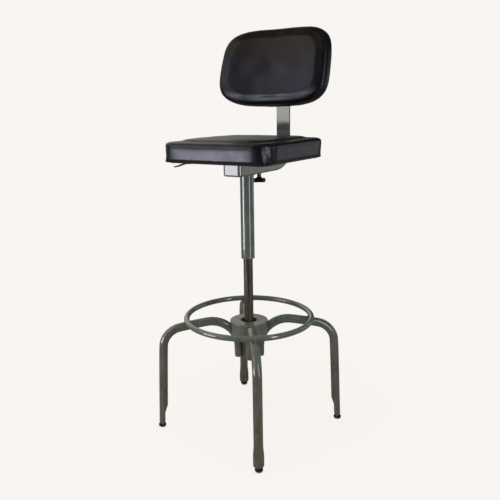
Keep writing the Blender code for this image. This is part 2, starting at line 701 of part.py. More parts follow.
def make_seat_cushion(body, vinyl):
    """Foam block with a soft edge, a low crown and a pocket for the board."""
    bottom = SEAT_BOTTOM_Z
    top = bottom + CUSHION_HEIGHT
    ceiling = bottom + BOARD_THICKNESS + SEAT_GAP
    pocket = board_outline(SEAT_GAP)
    rings = [[Vector((p.x, p.y, z)) for p in pocket] for z in (ceiling, bottom)]
    # (inset from the side, height) from the wrapped lower edge to the flat of the top
    profile = [
        (0.0060, bottom),
        (0.0018, bottom + 0.0020),
        (0.0004, bottom + 0.0070),
        (0.0012, bottom + 0.0110),
        (0.0000, bottom + 0.0240),
        (0.0004, top - 0.0180),
        (0.0026, top - 0.0100),
        (0.0068, top - 0.0048),
        (0.0130, top - 0.0012),
        (0.0220, top),
    ]
    for inset, share in ((0.050, 0.45), (0.085, 0.75), (0.120, 0.93)):
        profile.append((inset, top + CUSHION_CROWN * share))
    half_x = SEAT_WIDTH / 2
    half_y = SEAT_DEPTH / 2
    for inset, z in profile:
        corner = max(SEAT_CORNER - inset, 0.016)
        outline = rounded_rectangle(half_x - inset, half_y - inset, corner, 5, 4)
        rings.append([Vector((p.x, p.y, z)) for p in outline])
    rings.append([Vector((0, 0, top + CUSHION_CROWN))])
    finish_piece("seat_cushion", loft(rings), vinyl, body, (0, SEAT_CENTRE_Y, 0))


def screw(head_z, shank_top):
    """Pan-head screw that points up, its head under head_z."""
    profile = [
        (0, head_z - SCREW_HEAD_HEIGHT),
        (SCREW_HEAD_R * 0.6, head_z - SCREW_HEAD_HEIGHT),
        (SCREW_HEAD_R, head_z - SCREW_HEAD_HEIGHT * 0.4),
        (SCREW_HEAD_R, head_z),
        (SCREW_SHANK_R, head_z),
        (SCREW_SHANK_R, shank_top),
        (0, shank_top),
    ]
    return lathe(profile, SCREW_STEPS)


def make_seat_screws(body, zinc):
    head_z = CHANNEL_TOP_Z - CHANNEL_WALL - SEAT_GAP
    for k, (x, y) in enumerate(seat_screw_places(), 1):
        bm = screw(head_z, head_z + SCREW_LENGTH)
        finish_piece(f"seat_screw_{k}", bm, zinc, body, (x, y, 0))


def make_lever_bolt(body, zinc):
    """Shoulder bolt: a head below the lever, a shoulder in it and a collar up to the flange."""
    under = LEVER_Z - LEVER_THICKNESS / 2 - SEAT_GAP
    over = LEVER_Z + LEVER_THICKNESS / 2 + SEAT_GAP
    flange = CHANNEL_TOP_Z - CHANNEL_WALL - SEAT_GAP
    profile = [
        (0, under - BOLT_HEAD_HEIGHT),
        (BOLT_HEAD_R * 0.8, under - BOLT_HEAD_HEIGHT),
        (BOLT_HEAD_R, under - BOLT_HEAD_HEIGHT * 0.6),
        (BOLT_HEAD_R, under),
        (BOLT_R, under),
        (BOLT_R, over),
        (BOLT_HEAD_R, over),
        (BOLT_HEAD_R, flange),
        (BOLT_THREAD_R, flange),
        (BOLT_THREAD_R, CHANNEL_TOP_Z - SEAT_GAP),
        (0, CHANNEL_TOP_Z - SEAT_GAP),
    ]
    place = (LEVER_PIVOT.x, LEVER_PIVOT.y, 0)
    finish_piece("lever_bolt", lathe(profile, SMALL_STEPS), zinc, body, place)


def make_height_lever(body, enamel):
    """Flat bar from the cam end in the channel, round the bolt, to a rounded tip at the corner."""
    start = LEVER_CAM
    pivot = LEVER_PIVOT
    tip = LEVER_TIP
    half = LEVER_WIDTH / 2
    rings = []
    stations = []
    for t, width in ((0.0, 0.45), (0.12, 0.85), (0.4, 1.0)):
        stations.append((start.lerp(pivot, t), 0.0, width))
    stations.append((pivot, 0.0, 1.2))
    for t, width in ((0.14, 1.05), (0.3, 0.95), (0.6, 0.9), (0.8, 1.0), (0.92, 0.95), (0.98, 0.7), (1.0, 0.35)):
        droop = max((t - LEVER_BEND_START) / (1 - LEVER_BEND_START), 0)
        stations.append((pivot.lerp(tip, t), -LEVER_DROP * droop, width))
    last = len(stations) - 1
    for i, (p, dz, width) in enumerate(stations):
        before = stations[max(i - 1, 0)][0]
        after = stations[min(i + 1, last)][0]
        along = (after - before).normalized()
        side = Vector((-along.y, along.x))
        w = half * width
        z = LEVER_Z + dz
        ring = []
        for s, up in ((-1, -1), (1, -1), (1, 1), (-1, 1)):
            q = p + side * s * w
            ring.append(Vector((q.x - pivot.x, q.y - pivot.y, z + up * LEVER_THICKNESS / 2)))
        rings.append(ring)
    place = (pivot.x, pivot.y, 0)
    lever = finish_piece("height_lever", loft(rings), enamel, body, place)
    hole = cylinder(BOLT_R + SEAT_GAP, LEVER_Z - CUT_PAST, LEVER_Z + CUT_PAST)
    cut(lever, finish_piece("lever_hole_cutter", hole, enamel, body, place))


def strap_stations():
    """(y, z, heading, half width) along the strap's middle, from its front end to its top."""
    low_z = STRAP_BOTTOM_Z + STRAP_THICKNESS / 2
    ends = (0.0, 0.25, 0.6, 1.0)
    stations = []
    for t in ends:
        loss = STRAP_END_ROUND * (1 - sqrt(max(1 - (1 - t) ** 2, 0)))
        stations.append((STRAP_FRONT_END_Y + STRAP_END_ROUND * t, low_z, 0.0, STRAP_HALF - loss))
    bend_y = STRAP_Y - STRAP_BEND
    bend_z = low_z + STRAP_BEND
    steps = 8
    for i in range(steps + 1):
        a = pi / 2 * i / steps
        stations.append((bend_y + STRAP_BEND * sin(a), bend_z - STRAP_BEND * cos(a), a, STRAP_HALF))
    for t in reversed(ends):
        loss = STRAP_END_ROUND * (1 - sqrt(max(1 - (1 - t) ** 2, 0)))
        stations.append((STRAP_Y, STRAP_TOP_Z - STRAP_END_ROUND * t, pi / 2, STRAP_HALF - loss))
    return stations


def make_back_strap(body, enamel):
    """Flat bar with eased edges and rounded ends."""
    t = STRAP_THICKNESS / 2
    e = STRAP_EDGE
    rings = []
    for y, z, heading, half in strap_stations():
        ring = []
        corners = (
            (half - e, -t),
            (half, -t + e),
            (half, t - e),
            (half - e, t),
            (-half + e, t),
            (-half, t - e),
            (-half, -t + e),
            (-half + e, -t),
        )
        for x, up in corners:
            ring.append(Vector((x, y - sin(heading) * up, z + cos(heading) * up)))
        rings.append(ring)
    home = home_of(body)
    moved = [[p - home for p in ring] for ring in rings]
    finish_piece("back_strap", loft(moved), enamel, body, home)


def knob_rings(neck):
    """Rings of a T knob along its own axis: round neck at z = 0, the bar below it."""
    bar_top = -neck
    end = bar_top - KNOB_BAR_HEIGHT
    r = KNOB_NECK_R
    length = KNOB_HALF_LENGTH
    width = KNOB_HALF_WIDTH
    rows = [
        (0.0, r, r),
        (-neck * 0.74, r, r),
        (-neck * 0.88, r * 1.35, r * 1.10),
        (-neck * 0.97, length * 0.60, width * 0.88),
        (bar_top - KNOB_EDGE * 0.4, length * 0.94, width * 0.95),
        (bar_top - KNOB_EDGE * 1.3, length, width),
        (end + KNOB_EDGE, length, width),
        (end, length - KNOB_EDGE, width - KNOB_EDGE),
    ]
    rings = []
    for z, a, b in rows:
        radius = min(a, b)
        points = rounded_rectangle(a, b, radius * 0.999, 4)
        rings.append([Vector((p.x, p.y, z)) for p in points])
    return rings


def make_knob(name, body, materials, neck, place, turn, lay=0.0):
    """Plastic T knob on a steel stud. lay turns its axis from Z toward -Y."""
    knob = finish_piece(name, loft(knob_rings(neck)), materials["plastic"], body, place)
    knob.rotation_euler = (lay, 0, turn)
    hole = cylinder(STUD_R + SEAT_GAP, -STUD_IN_KNOB - SEAT_GAP, CUT_PAST, SMALL_STEPS)
    cutter = finish_piece(name + "_bore_cutter", hole, materials["plastic"], body, place)
    cutter.rotation_euler = (lay, 0, turn)
    cut(knob, cutter)


def make_stud(name, body, materials, place, length, lay=0.0):
    bm = cylinder(STUD_R, -STUD_IN_KNOB, length, SMALL_STEPS)
    stud = finish_piece(name, bm, materials["zinc"], body, place)
    stud.rotation_euler = (lay, 0, 0)


def make_seat_knob(body, materials):
    top = CHANNEL_BOTTOM_Z - KNOB_GAP
    place = (0, KNOB_Y, top)
    make_knob("seat_knob", body, materials, SEAT_KNOB_NECK, place, KNOB_TURN)
    make_stud("seat_knob_stud", body, materials, place, STRAP_BOTTOM_Z - SEAT_GAP - top)


def make_back_slide(body, materials):
    """Sleeve round the strap, with the hinge barrel on its front."""
    home = home_of(body)
    front = PIVOT_Y + BARREL_R - BARREL_SINK
    rear = STRAP_Y + STRAP_THICKNESS / 2 + SEAT_GAP + SLIDE_WALL
    half_z = SLIDE_HEIGHT / 2
    low = Vector((-SLIDE_HALF_WIDTH, front, BACK_PIVOT_Z - half_z)) - home
    high = Vector((SLIDE_HALF_WIDTH, rear, BACK_PIVOT_Z + half_z)) - home
    sleeve = finish_piece("back_slide", box(low, high), materials["enamel"], body, home)
    barrel = cylinder(BARREL_R, -BARREL_HALF, BARREL_HALF, SMALL_STEPS)
    bmesh.ops.rotate(barrel, verts=barrel.verts, matrix=quarter_turn_y())
    bar = finish_piece("barrel_shape", barrel, materials["enamel"], body, (0, PIVOT_Y, BACK_PIVOT_Z))
    bar.hide_render = True
    bar.display_type = "WIRE"
    join = sleeve.modifiers.new("barrel", "BOOLEAN")
    join.operation = "UNION"
    join.object = bar
    bore = cylinder(PIN_R + SEAT_GAP, -BARREL_HALF - CUT_PAST, BARREL_HALF + CUT_PAST, SMALL_STEPS)
    bmesh.ops.rotate(bore, verts=bore.verts, matrix=quarter_turn_y())
    place = (0, PIVOT_Y, BACK_PIVOT_Z)
    cut(sleeve, finish_piece("pin_bore_cutter", bore, materials["enamel"], body, place))
    strap_front = STRAP_Y - STRAP_THICKNESS / 2 - SEAT_GAP
    strap_rear = STRAP_Y + STRAP_THICKNESS / 2 + SEAT_GAP
    low = Vector((-STRAP_HALF - SEAT_GAP, strap_front, BACK_PIVOT_Z - half_z - CUT_PAST)) - home
    high = Vector((STRAP_HALF + SEAT_GAP, strap_rear, BACK_PIVOT_Z + half_z + CUT_PAST)) - home
    cut(sleeve, finish_piece("slide_slot_cutter", box(low, high), materials["enamel"], body, home))
    hole = cylinder(STUD_R + SEAT_GAP, -CUT_PAST, SLIDE_WALL, SMALL_STEPS)
    thread = finish_piece("slide_thread_cutter", hole, materials["enamel"], body, (0, rear, BACK_PIVOT_Z))
    thread.rotation_euler.x = pi / 2
    cut(sleeve, thread)


def quarter_turn_y():
    return Matrix.Rotation(pi / 2, 3, "Y")


def make_hinge_pin(body, zinc):
    """Riveted pin through the ears and the barrel."""
    half = EAR_OUTER_X + RUN_GAP
    profile = [
        (0, -half - PIN_HEAD_HEIGHT),
        (PIN_HEAD_R * 0.7, -half - PIN_HEAD_HEIGHT),
        (PIN_HEAD_R, -half - PIN_HEAD_HEIGHT * 0.5),
        (PIN_HEAD_R, -half),
        (PIN_R, -half),
        (PIN_R, half),
        (PIN_HEAD_R, half),
        (PIN_HEAD_R, half + PIN_HEAD_HEIGHT * 0.5),
        (PIN_HEAD_R * 0.7, half + PIN_HEAD_HEIGHT),
        (0, half + PIN_HEAD_HEIGHT),
    ]
    bm = lathe(profile, SMALL_STEPS)
    bmesh.ops.rotate(bm, verts=bm.verts, matrix=quarter_turn_y())
    finish_piece("back_hinge_pin", bm, zinc, body, (0, PIVOT_Y, BACK_PIVOT_Z))


def make_back_knob(body, materials):
    strap_rear = STRAP_Y + STRAP_THICKNESS / 2 + SEAT_GAP
    top = strap_rear + SLIDE_WALL + KNOB_GAP
    place = (0, top, BACK_PIVOT_Z)
    make_knob("back_knob", body, materials, BACK_KNOB_NECK, place, 0.0, pi / 2)
    make_stud("back_knob_stud", body, materials, place, top - strap_rear, pi / 2)


def back_outline(inset):
    """The panel's outline in its own plane: a squared oval, a little narrower at the top."""
    half_w = BACK_WIDTH / 2 - inset
    half_h = BACK_HEIGHT / 2 - inset
    points = []
    for i in range(BACK_POINTS):
        a = 2 * pi * i / BACK_POINTS
        c = cos(a)
        s = sin(a)
        x = half_w * abs(c) ** (2 / BACK_POWER) * (1 if c > 0 else -1)
        z = half_h * abs(s) ** (2 / BACK_POWER) * (1 if s > 0 else -1)
        points.append(Vector((x * (1 - BACK_TAPER * z / (BACK_HEIGHT / 2)), z)))
    return points


def back_ring(outline, depth, scale=1.0):
    """Points at a depth behind the panel's rear face, on its bowed surface."""
    ring = []
    for p in outline:
        x = p.x * scale
        z = p.y * scale
        ring.append(Vector((x, -BACK_STANDOFF - depth - x * x / (2 * BACK_BOW_RADIUS), BACK_RISE + z)))
    return ring


def make_back_cushion(body, vinyl):
    pocket = back_outline(BACK_BOARD_INSET - SEAT_GAP)
    ceiling = BACK_BOARD_THICKNESS + SEAT_GAP
    rings = [[Vector((0, -BACK_STANDOFF - ceiling, BACK_RISE))]]
    rings += [back_ring(pocket, ceiling, scale) for scale in (0.5, 1.0)]
    rings.append(back_ring(pocket, 0.0))
    rear = BACK_REAR_ROLL
    for i in range(3):
        a = pi / 2 * i / 2
        rings.append(back_ring(back_outline(rear * (1 - sin(a))), rear * (1 - cos(a))))
    front = BACK_FRONT_ROLL
    face = BACK_THICKNESS
    for i in range(5):
        a = pi / 2 * i / 4
        rings.append(back_ring(back_outline(front * (1 - cos(a))), face - front * (1 - sin(a))))
    for inset, share in ((0.045, 0.6), (0.075, 0.9)):
        rings.append(back_ring(back_outline(inset), face + BACK_CROWN * share))
    rings.append([Vector((0, -BACK_STANDOFF - face - BACK_CROWN, BACK_RISE))])
    finish_piece("back_cushion", loft(rings), vinyl, body, home_of(body))


def make_back_board(body, materials):
    outline = back_outline(BACK_BOARD_INSET)
    thick = BACK_BOARD_THICKNESS
    rings = [[Vector((0, -BACK_STANDOFF - thick, BACK_RISE))]]
    rings += [back_ring(outline, thick, scale) for scale in (0.5, 1.0)]
    rings += [back_ring(outline, 0.0, scale) for scale in (1.0, 0.5)]
    rings.append([Vector((0, -BACK_STANDOFF, BACK_RISE))])
    board = finish_piece("back_board", loft(rings), materials["black_board"], body, home_of(body))
    for k, (x, z) in enumerate(bracket_screw_places(), 1):
        hole = cylinder(SCREW_SHANK_R + SEAT_GAP, -CUT_PAST, CUT_PAST, SCREW_STEPS)
        cutter = finish_piece(f"back_pilot_cutter_{k}", hole, materials["black_board"], body, home_of(body))
        cutter.rotation_euler.x = pi / 2
        cutter.location = Vector((x, -BACK_STANDOFF, z))
        cut(board, cutter)


def bracket_screw_places():
    xs = (-BRACKET_SCREW_X, BRACKET_SCREW_X)
    return [(x, z) for z in (-BRACKET_SCREW_Z, BRACKET_SCREW_Z) for x in xs]


def make_hinge_bracket(body, materials):
    """Plate screwed to the board, with two ears that reach back to the hinge pin."""
    plate_front = -BACK_STANDOFF + SEAT_GAP
    plate_rear = plate_front + PLATE_THICKNESS
    low = (-EAR_OUTER_X, plate_front, -PLATE_HALF_HEIGHT)
    high = (EAR_OUTER_X, plate_rear, PLATE_HALF_HEIGHT)
    home = home_of(body)
    bracket = finish_piece("back_hinge_bracket", box(low, high, PLATE_EDGE), materials["enamel"], body, home)
    # Ear outline in the hinge's plane: a foot on the plate, a round end about the pin
    touch = atan2(EAR_FOOT_HALF - EAR_END_R, -plate_front)
    outline = [(plate_front + JOIN_DEPTH, -EAR_FOOT_HALF)]
    steps = 8
    for i in range(steps + 1):
        a = -pi / 2 + touch + (pi - 2 * touch) * i / steps
        outline.append((EAR_END_R * cos(a), EAR_END_R * sin(a)))
    outline.append((plate_front + JOIN_DEPTH, EAR_FOOT_HALF))
    for side, name in ((-1, "ear_shape_left"), (1, "ear_shape_right")):
        rings = []
        for x in (side * EAR_INNER_X, side * EAR_OUTER_X):
            rings.append([Vector((x, y, z)) for y, z in outline])
        ear = finish_piece(name, loft(rings), materials["enamel"], body, home)
        ear.hide_render = True
        ear.display_type = "WIRE"
        join = bracket.modifiers.new(name, "BOOLEAN")
        join.operation = "UNION"
        join.object = ear
    bore = cylinder(PIN_R + SEAT_GAP, -EAR_OUTER_X - CUT_PAST, EAR_OUTER_X + CUT_PAST, SMALL_STEPS)
    bmesh.ops.rotate(bore, verts=bore.verts, matrix=quarter_turn_y())
    cut(bracket, finish_piece("ear_bore_cutter", bore, materials["enamel"], body, home))
    for k, (x, z) in enumerate(bracket_screw_places(), 1):
        hole = cylinder(SCREW_SHANK_R + SEAT_GAP, -CUT_PAST, CUT_PAST, SCREW_STEPS)
        cutter = finish_piece(f"plate_hole_cutter_{k}", hole, materials["enamel"], body, home)
        cutter.rotation_euler.x = pi / 2
        cutter.location = Vector((x, plate_front, z))
        cut(bracket, cutter)
        place_bracket_screw(k, x, z, plate_rear, body, materials["zinc"])


def place_bracket_screw(k, x, z, plate_rear, body, zinc):
    """Pan-head screw into the back board, its head on the plate."""
    length = PLATE_THICKNESS + BACK_BOARD_THICKNESS * 0.8
    bm = screw(0.0, length)
    piece = finish_piece(f"back_bracket_screw_{k}", bm, zinc, body, home_of(body))
    piece.rotation_euler.x = pi / 2
    piece.location = Vector((x, plate_rear + SEAT_GAP, z))


def clear_scene():
    for old in list(bpy.data.objects):
        bpy.data.objects.remove(old, do_unlink=True)


def main():
    clear_scene()
    materials = make_materials()
    pivot = (0, PIVOT_Y, BACK_PIVOT_Z)
    base = make_body("base", (0, 0, 0))
    lock = make_body("height_lock", (0, 0, LOCK_BOTTOM_Z), base)
    seat = make_body("seat", (0, 0, COLUMN_TOP_Z), lock)
    lever = make_body("lever", (LEVER_PIVOT.x, LEVER_PIVOT.y, LEVER_Z), seat)
    seat_knob = make_body("seat_clamp", (0, KNOB_Y, CHANNEL_BOTTOM_Z), seat)
    strap = make_body("strap", (0, STRAP_FRONT_END_Y, STRAP_BOTTOM_Z), seat)
    slide = make_body("slide", pivot, strap)
    backrest = make_body("backrest", pivot, slide, BACK_LEAN)
    back_knob = make_body("back_clamp", pivot, slide)

    legs = make_legs(base, materials["enamel"])
    make_glides(base, materials)
    make_foot_ring(base, materials["enamel"])
    make_hub(base, materials, legs)
    make_post(base, materials["worn"])
    make_height_lock(lock, materials)
    make_column(seat, materials)
    make_channel(seat, materials)
    make_strap_saddle(seat, materials)
    make_seat_board(seat, materials)
    make_seat_cushion(seat, materials["vinyl"])
    make_seat_screws(seat, materials["zinc"])
    make_lever_bolt(seat, materials["zinc"])
    make_height_lever(lever, materials["enamel"])
    make_seat_knob(seat_knob, materials)
    make_back_strap(strap, materials["enamel"])
    make_back_slide(slide, materials)
    make_hinge_pin(slide, materials["zinc"])
    make_back_knob(back_knob, materials)
    make_back_cushion(backrest, materials["vinyl"])
    make_back_board(backrest, materials)
    make_hinge_bracket(backrest, materials)


main()
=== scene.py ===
"""Drafting stool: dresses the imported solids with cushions, welds, fasteners and finishes.

Metres, +Z up, the sitter faces -Y. Every size that isn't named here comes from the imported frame.
"""

import json
from math import atan2, cos, pi, radians, sin, sqrt

import bpy
from mathutils import Matrix, Vector, noise


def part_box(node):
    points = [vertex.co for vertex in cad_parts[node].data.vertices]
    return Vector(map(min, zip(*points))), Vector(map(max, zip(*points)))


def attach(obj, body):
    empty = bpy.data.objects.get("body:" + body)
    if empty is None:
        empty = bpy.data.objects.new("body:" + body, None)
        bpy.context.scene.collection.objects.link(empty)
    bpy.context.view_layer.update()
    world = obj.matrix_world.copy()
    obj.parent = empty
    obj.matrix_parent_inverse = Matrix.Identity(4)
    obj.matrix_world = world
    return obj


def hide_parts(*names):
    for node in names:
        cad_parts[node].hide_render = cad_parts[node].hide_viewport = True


bl_info = {
    "name": "Drafting Stool",
    "version": (1, 0, 0),
    "blender": (4, 5, 0),
    "location": "View3D > Sidebar > Stool",
    "description": "Dresses the drafting stool with cushions, welds, fasteners and finishes",
    "category": "Add Mesh",
}

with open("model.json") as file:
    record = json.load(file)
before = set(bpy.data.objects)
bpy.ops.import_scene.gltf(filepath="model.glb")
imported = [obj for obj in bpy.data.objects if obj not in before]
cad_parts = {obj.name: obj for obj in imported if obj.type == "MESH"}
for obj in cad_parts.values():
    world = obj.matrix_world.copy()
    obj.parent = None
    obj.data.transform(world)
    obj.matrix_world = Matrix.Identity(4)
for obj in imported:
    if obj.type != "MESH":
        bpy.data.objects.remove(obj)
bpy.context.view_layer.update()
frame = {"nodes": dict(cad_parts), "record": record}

# Values that the stool's source also has
LEG_TUBE_R = 0.0127
LEG_AZIMUTHS = [radians(37.3 - 90 + 90 * k) for k in range(4)]
LEG_NAMES = ("leg_front", "leg_right", "leg_back", "leg_left")
RUN_FALL = radians(10.5)
RING_RADIUS = 0.1810
RING_ROD_R = 0.0079
POST_R = 0.0133
POST_BORE_R = 0.0108
COLUMN_R = 0.01905
COLUMN_BORE_R = 0.0174
LEG_INNER_R = 0.0310
ARCH_RADIUS = 0.0800
ARCH_TOP_Z = 0.3285
BACK_LEAN = radians(14.3)
SCREW_HEAD_R = 0.0048
SCREW_HEAD_HEIGHT = 0.0024

# Numbers of the Mix node's sockets for two colours and their blend
MIX_A = 6
MIX_B = 7
MIX_RESULT = 2


def linear_colour(text):
    """Linear RGBA of an sRGB hex colour."""
    values = []
    for i in (1, 3, 5):
        c = int(text[i : i + 2], 16) / 255
        values.append(c / 12.92 if c <= 0.04045 else ((c + 0.055) / 1.055) ** 2.4)
    return (*values, 1.0)


def colour_property(name, text, description):
    colour = linear_colour(text)
    return bpy.props.FloatVectorProperty(
        name=name, description=description, subtype="COLOR", size=4, min=0, max=1, default=colour
    )


def length_property(name, metres, description):
    return bpy.props.FloatProperty(name=name, description=description, unit="LENGTH", default=metres)


class StoolColours(bpy.types.PropertyGroup):
    enamel: colour_property("Enamel", "#5A675F", "Grey-green enamel of the legs, ring, column and strap")
    # The strap's colour is the legs' enamel made darker: painted shade for the strap that the seat and
    # backrest shade
    strap: colour_property("Strap enamel", "#3E4A43", "Enamel of the back strap, darker than the legs'")
    drum: colour_property("Hub enamel", "#636C63", "Enamel of the hub's drum")
    # Brown low on the legs: partly dirt, and partly painted reflection of a brown floor
    brown_stain_and_reflection: colour_property("Grime", "#4E402B", "Brown stain low on the legs")
    post: colour_property("Post", "#4C4A42", "Rubbed paint of the inner post")
    vinyl: colour_property("Vinyl", "#0B0C0F", "Upholstery vinyl")
    background: colour_property("Background", "#F9F5F2", "Floor and backdrop")


class StoolSizes(bpy.types.PropertyGroup):
    voxel: length_property("Voxel", 0.0042, "Spacing of a cushion's mesh before its last subdivision")
    seat_swell: length_property("Seat swell", 0.0022, "Most that a point of the seat cushion may move")
    back_swell: length_property("Back swell", 0.0020, "Most that a point of the back cushion may move")
    pleat_depth: length_property("Pleat depth", 0.0024, "Depth of the fold at a corner of the seat")
    hem_width: length_property("Hem width", 0.0240, "Width of the vinyl turned under the seat board")
    staple_pitch: length_property("Staple pitch", 0.0300, "Spacing of the staples that hold the hem")
    bead_radius: length_property("Weld bead radius", 0.0019, "Radius of a weld's bead")


def colours():
    return bpy.context.scene.stool_colours


def sizes():
    return bpy.context.scene.stool_sizes


def fill_sockets(tree, node, inputs):
    """Set each socket, by its name or number, to a value or to the output that feeds it."""
    for key, value in inputs.items():
        if isinstance(value, bpy.types.NodeSocket):
            tree.links.new(value, node.inputs[key])
        else:
            node.inputs[key].default_value = value


def add_node(tree, kind, inputs=None, **settings):
    """Add a shader node with its settings and sockets."""
    node = tree.nodes.new("ShaderNode" + kind)
    for key, value in settings.items():
        setattr(node, key, value)
    fill_sockets(tree, node, inputs or {})
    return node


def start_material(name):
    """A material with a Principled shader, and the object coordinates that its patterns use."""
    material = bpy.data.materials.new(name)
    material.use_nodes = True
    tree = material.node_tree
    shader = tree.nodes["Principled BSDF"]
    place = add_node(tree, "TexCoord").outputs["Object"]
    return material, tree, shader, place


def spots(tree, place, grain, low, high, detail=3.0):
    """0 to 1 mask of noise whose features are about grain metres across, cut between low and high."""
    tex = add_node(tree, "TexNoise", {"Vector": place, "Scale": 1 / grain, "Detail": detail})
    out = add_node(tree, "MapRange", {"Value": tex.outputs["Fac"], "From Min": low, "From Max": high})
    return out.outputs["Result"]


def span(tree, value, low, high, start=0.0, end=1.0):
    """The value's range from start to end, mapped to low to high and kept within them."""
    inputs = {"Value": value, "From Min": start, "From Max": end, "To Min": low, "To Max": high}
    return add_node(tree, "MapRange", inputs).outputs["Result"]


def multiply(tree, first, second):
    return add_node(tree, "Math", {0: first, 1: second}, operation="MULTIPLY").outputs[0]


def blend(tree, share, first, second):
    """Colour from first to second by a 0 to 1 share."""
    mix = add_node(tree, "Mix", {0: share, MIX_A: first, MIX_B: second}, data_type="RGBA")
    return mix.outputs[MIX_RESULT]


def stretch(tree, place, scale):
    return add_node(tree, "Mapping", {"Vector": place, "Scale": scale}).outputs["Vector"]


def raise_surface(tree, height, distance, strength=1.0, under=None):
    inputs = {"Height": height, "Distance": distance, "Strength": strength}
    if under is not None:
        inputs["Normal"] = under
    return add_node(tree, "Bump", inputs).outputs["Normal"]


def shade(colour, factor):
    """The same colour, lighter or darker."""
    return (*[min(c * factor, 1) for c in colour[:3]], 1.0)


def baked_enamel(name, colour, stain_and_reflection_height=0.0, wobble=0.22):
    """Stoved enamel on steel: a wet gloss with a faint orange peel, hairline scratches, chips, and low down
    a brown tint that is partly dirt and partly painted reflection of a brown floor.
    """
    material, tree, shader, place = start_material(name)
    tone = spots(tree, place, 0.050, 0.35, 0.65)
    base = blend(tree, tone, shade(colour, 0.84), shade(colour, 1.14))
    smear = spots(tree, stretch(tree, place, (1, 1, 0.2)), 0.010, 0.50, 0.75)
    base = blend(tree, smear, base, shade(colour, 0.70))
    brown_stain_and_reflection = tuple(colours().brown_stain_and_reflection)
    # Brown tint that grows towards the floor: partly dirt, and partly painted reflection of a brown floor
    if stain_and_reflection_height:
        height = add_node(tree, "SeparateXYZ", {0: place}).outputs["Z"]
        low = span(tree, height, 0.95, 0.45, 0.02, stain_and_reflection_height)
        low = multiply(tree, low, span(tree, height, 1.0, 0.0, stain_and_reflection_height, stain_and_reflection_height + 0.05))
        patch = spots(tree, stretch(tree, place, (1, 1, 0.3)), 0.016, 0.22, 0.60)
        base = blend(tree, multiply(tree, low, patch), base, brown_stain_and_reflection)
    # Chips of 1 to 2 mm show brown primer
    chips = spots(tree, place, 0.0040, 0.735, 0.765, 1.0)
    base = blend(tree, chips, base, shade(brown_stain_and_reflection, 0.8))
    # Hairline scratches are 0.2 mm wide, drawn at 0.8 mm so that they show
    hair = spots(tree, stretch(tree, place, (1, 0.6, 0.05)), 0.0012, 0.74, 0.78, 0.0)
    base = blend(tree, hair, base, shade(colour, 1.45))
    rough = span(tree, spots(tree, place, 0.025, 0.3, 0.7), 0.26, 0.40)
    # Orange peel is about 1 mm, drawn at 3 mm so that it shows
    peel = add_node(tree, "TexNoise", {"Vector": place, "Scale": 330, "Detail": 1.0}).outputs["Fac"]
    dents = add_node(tree, "TexNoise", {"Vector": place, "Scale": 45, "Detail": 1.0}).outputs["Fac"]
    under = raise_surface(tree, dents, 0.0006, wobble)
    surface = raise_surface(tree, peel, 0.00004, 0.35, under)
    fill_sockets(tree, shader, {"Base Color": base, "Roughness": rough, "Normal": surface})
    coat = {"Coat Weight": 1.0, "Coat Roughness": 0.05, "Coat IOR": 1.75, "Coat Normal": surface}
    fill_sockets(tree, shader, coat)
    return material


def rubbed_post(name, colour):
    """Drawn tube whose paint the bushes have rubbed: long streaks, brown patches and a few bright marks."""
    material, tree, shader, place = start_material(name)
    streak = spots(tree, stretch(tree, place, (1, 1, 0.025)), 0.0034, 0.40, 0.62)
    base = blend(tree, streak, shade(colour, 0.60), shade(colour, 1.50))
    brown = spots(tree, stretch(tree, place, (1, 1, 0.3)), 0.016, 0.47, 0.62)
    base = blend(tree, brown, base, linear_colour("#524A40"))
    marks = spots(tree, stretch(tree, place, (1, 1, 0.8)), 0.0030, 0.72, 0.75, 1.0)
    base = blend(tree, marks, base, linear_colour("#B4B4AC"))
    rough = span(tree, streak, 0.24, 0.40)
    surface = raise_surface(tree, streak, 0.00005, 0.6)
    fill_sockets(tree, shader, {"Base Color": base, "Metallic": 0.30, "Roughness": rough, "Normal": surface})
    return material


def calendered_vinyl(name, colour, smoothest, roughest, refraction):
    """Calendered upholstery vinyl: pressed leather grain, a low sheen, and a paler bloom where it is worn.

    Years of sitting polish the seat, and the backrest keeps its duller sheen. The seat's higher IOR, which
    makes it reflect more, is painted highlight.
    """
    material, tree, shader, place = start_material(name)
    worn = spots(tree, place, 0.045, 0.42, 0.75)
    base = blend(tree, worn, colour, shade(colour, 1.5))
    dust = spots(tree, place, 0.005, 0.68, 0.82)
    base = blend(tree, dust, base, shade(colour, 2.6))
    rough = span(tree, spots(tree, place, 0.020, 0.3, 0.7), smoothest, roughest)
    # Grain cells of 0.8 mm, drawn at 1.4 mm so that they show
    cells = add_node(tree, "TexVoronoi", {"Vector": place, "Scale": 700}).outputs["Distance"]
    waves = add_node(tree, "TexNoise", {"Vector": place, "Scale": 55, "Detail": 3.0}).outputs["Fac"]
    under = raise_surface(tree, waves, 0.0008, 0.09)
    surface = raise_surface(tree, cells, 0.00006, 0.35, under)
    fill_sockets(tree, shader, {"Base Color": base, "Roughness": rough, "Normal": surface})
    # The bluish specular tint is a painted reflection colour: it stands in for bluish light in the vinyl's
    # reflections
    fill_sockets(tree, shader, {"IOR": refraction, "Specular Tint": linear_colour("#EEF1FF")})
    return material


def plain_finish(name, text, roughness, metallic=0.0, grain=0.004, spread=0.12, bump=0.00003):
    """A finish that is even from a step away: its tone, gloss and surface vary a little with the grain."""
    material, tree, shader, place = start_material(name)
    colour = linear_colour(text)
    tone = spots(tree, place, grain, 0.35, 0.65)
    base = blend(tree, tone, shade(colour, 1 - spread), shade(colour, 1 + spread))
    rough = span(tree, tone, roughness * 0.85, roughness * 1.15)
    surface = raise_surface(tree, tone, bump, 0.5)
    sockets = {"Base Color": base, "Metallic": metallic, "Roughness": rough, "Normal": surface}
    fill_sockets(tree, shader, sockets)
    return material


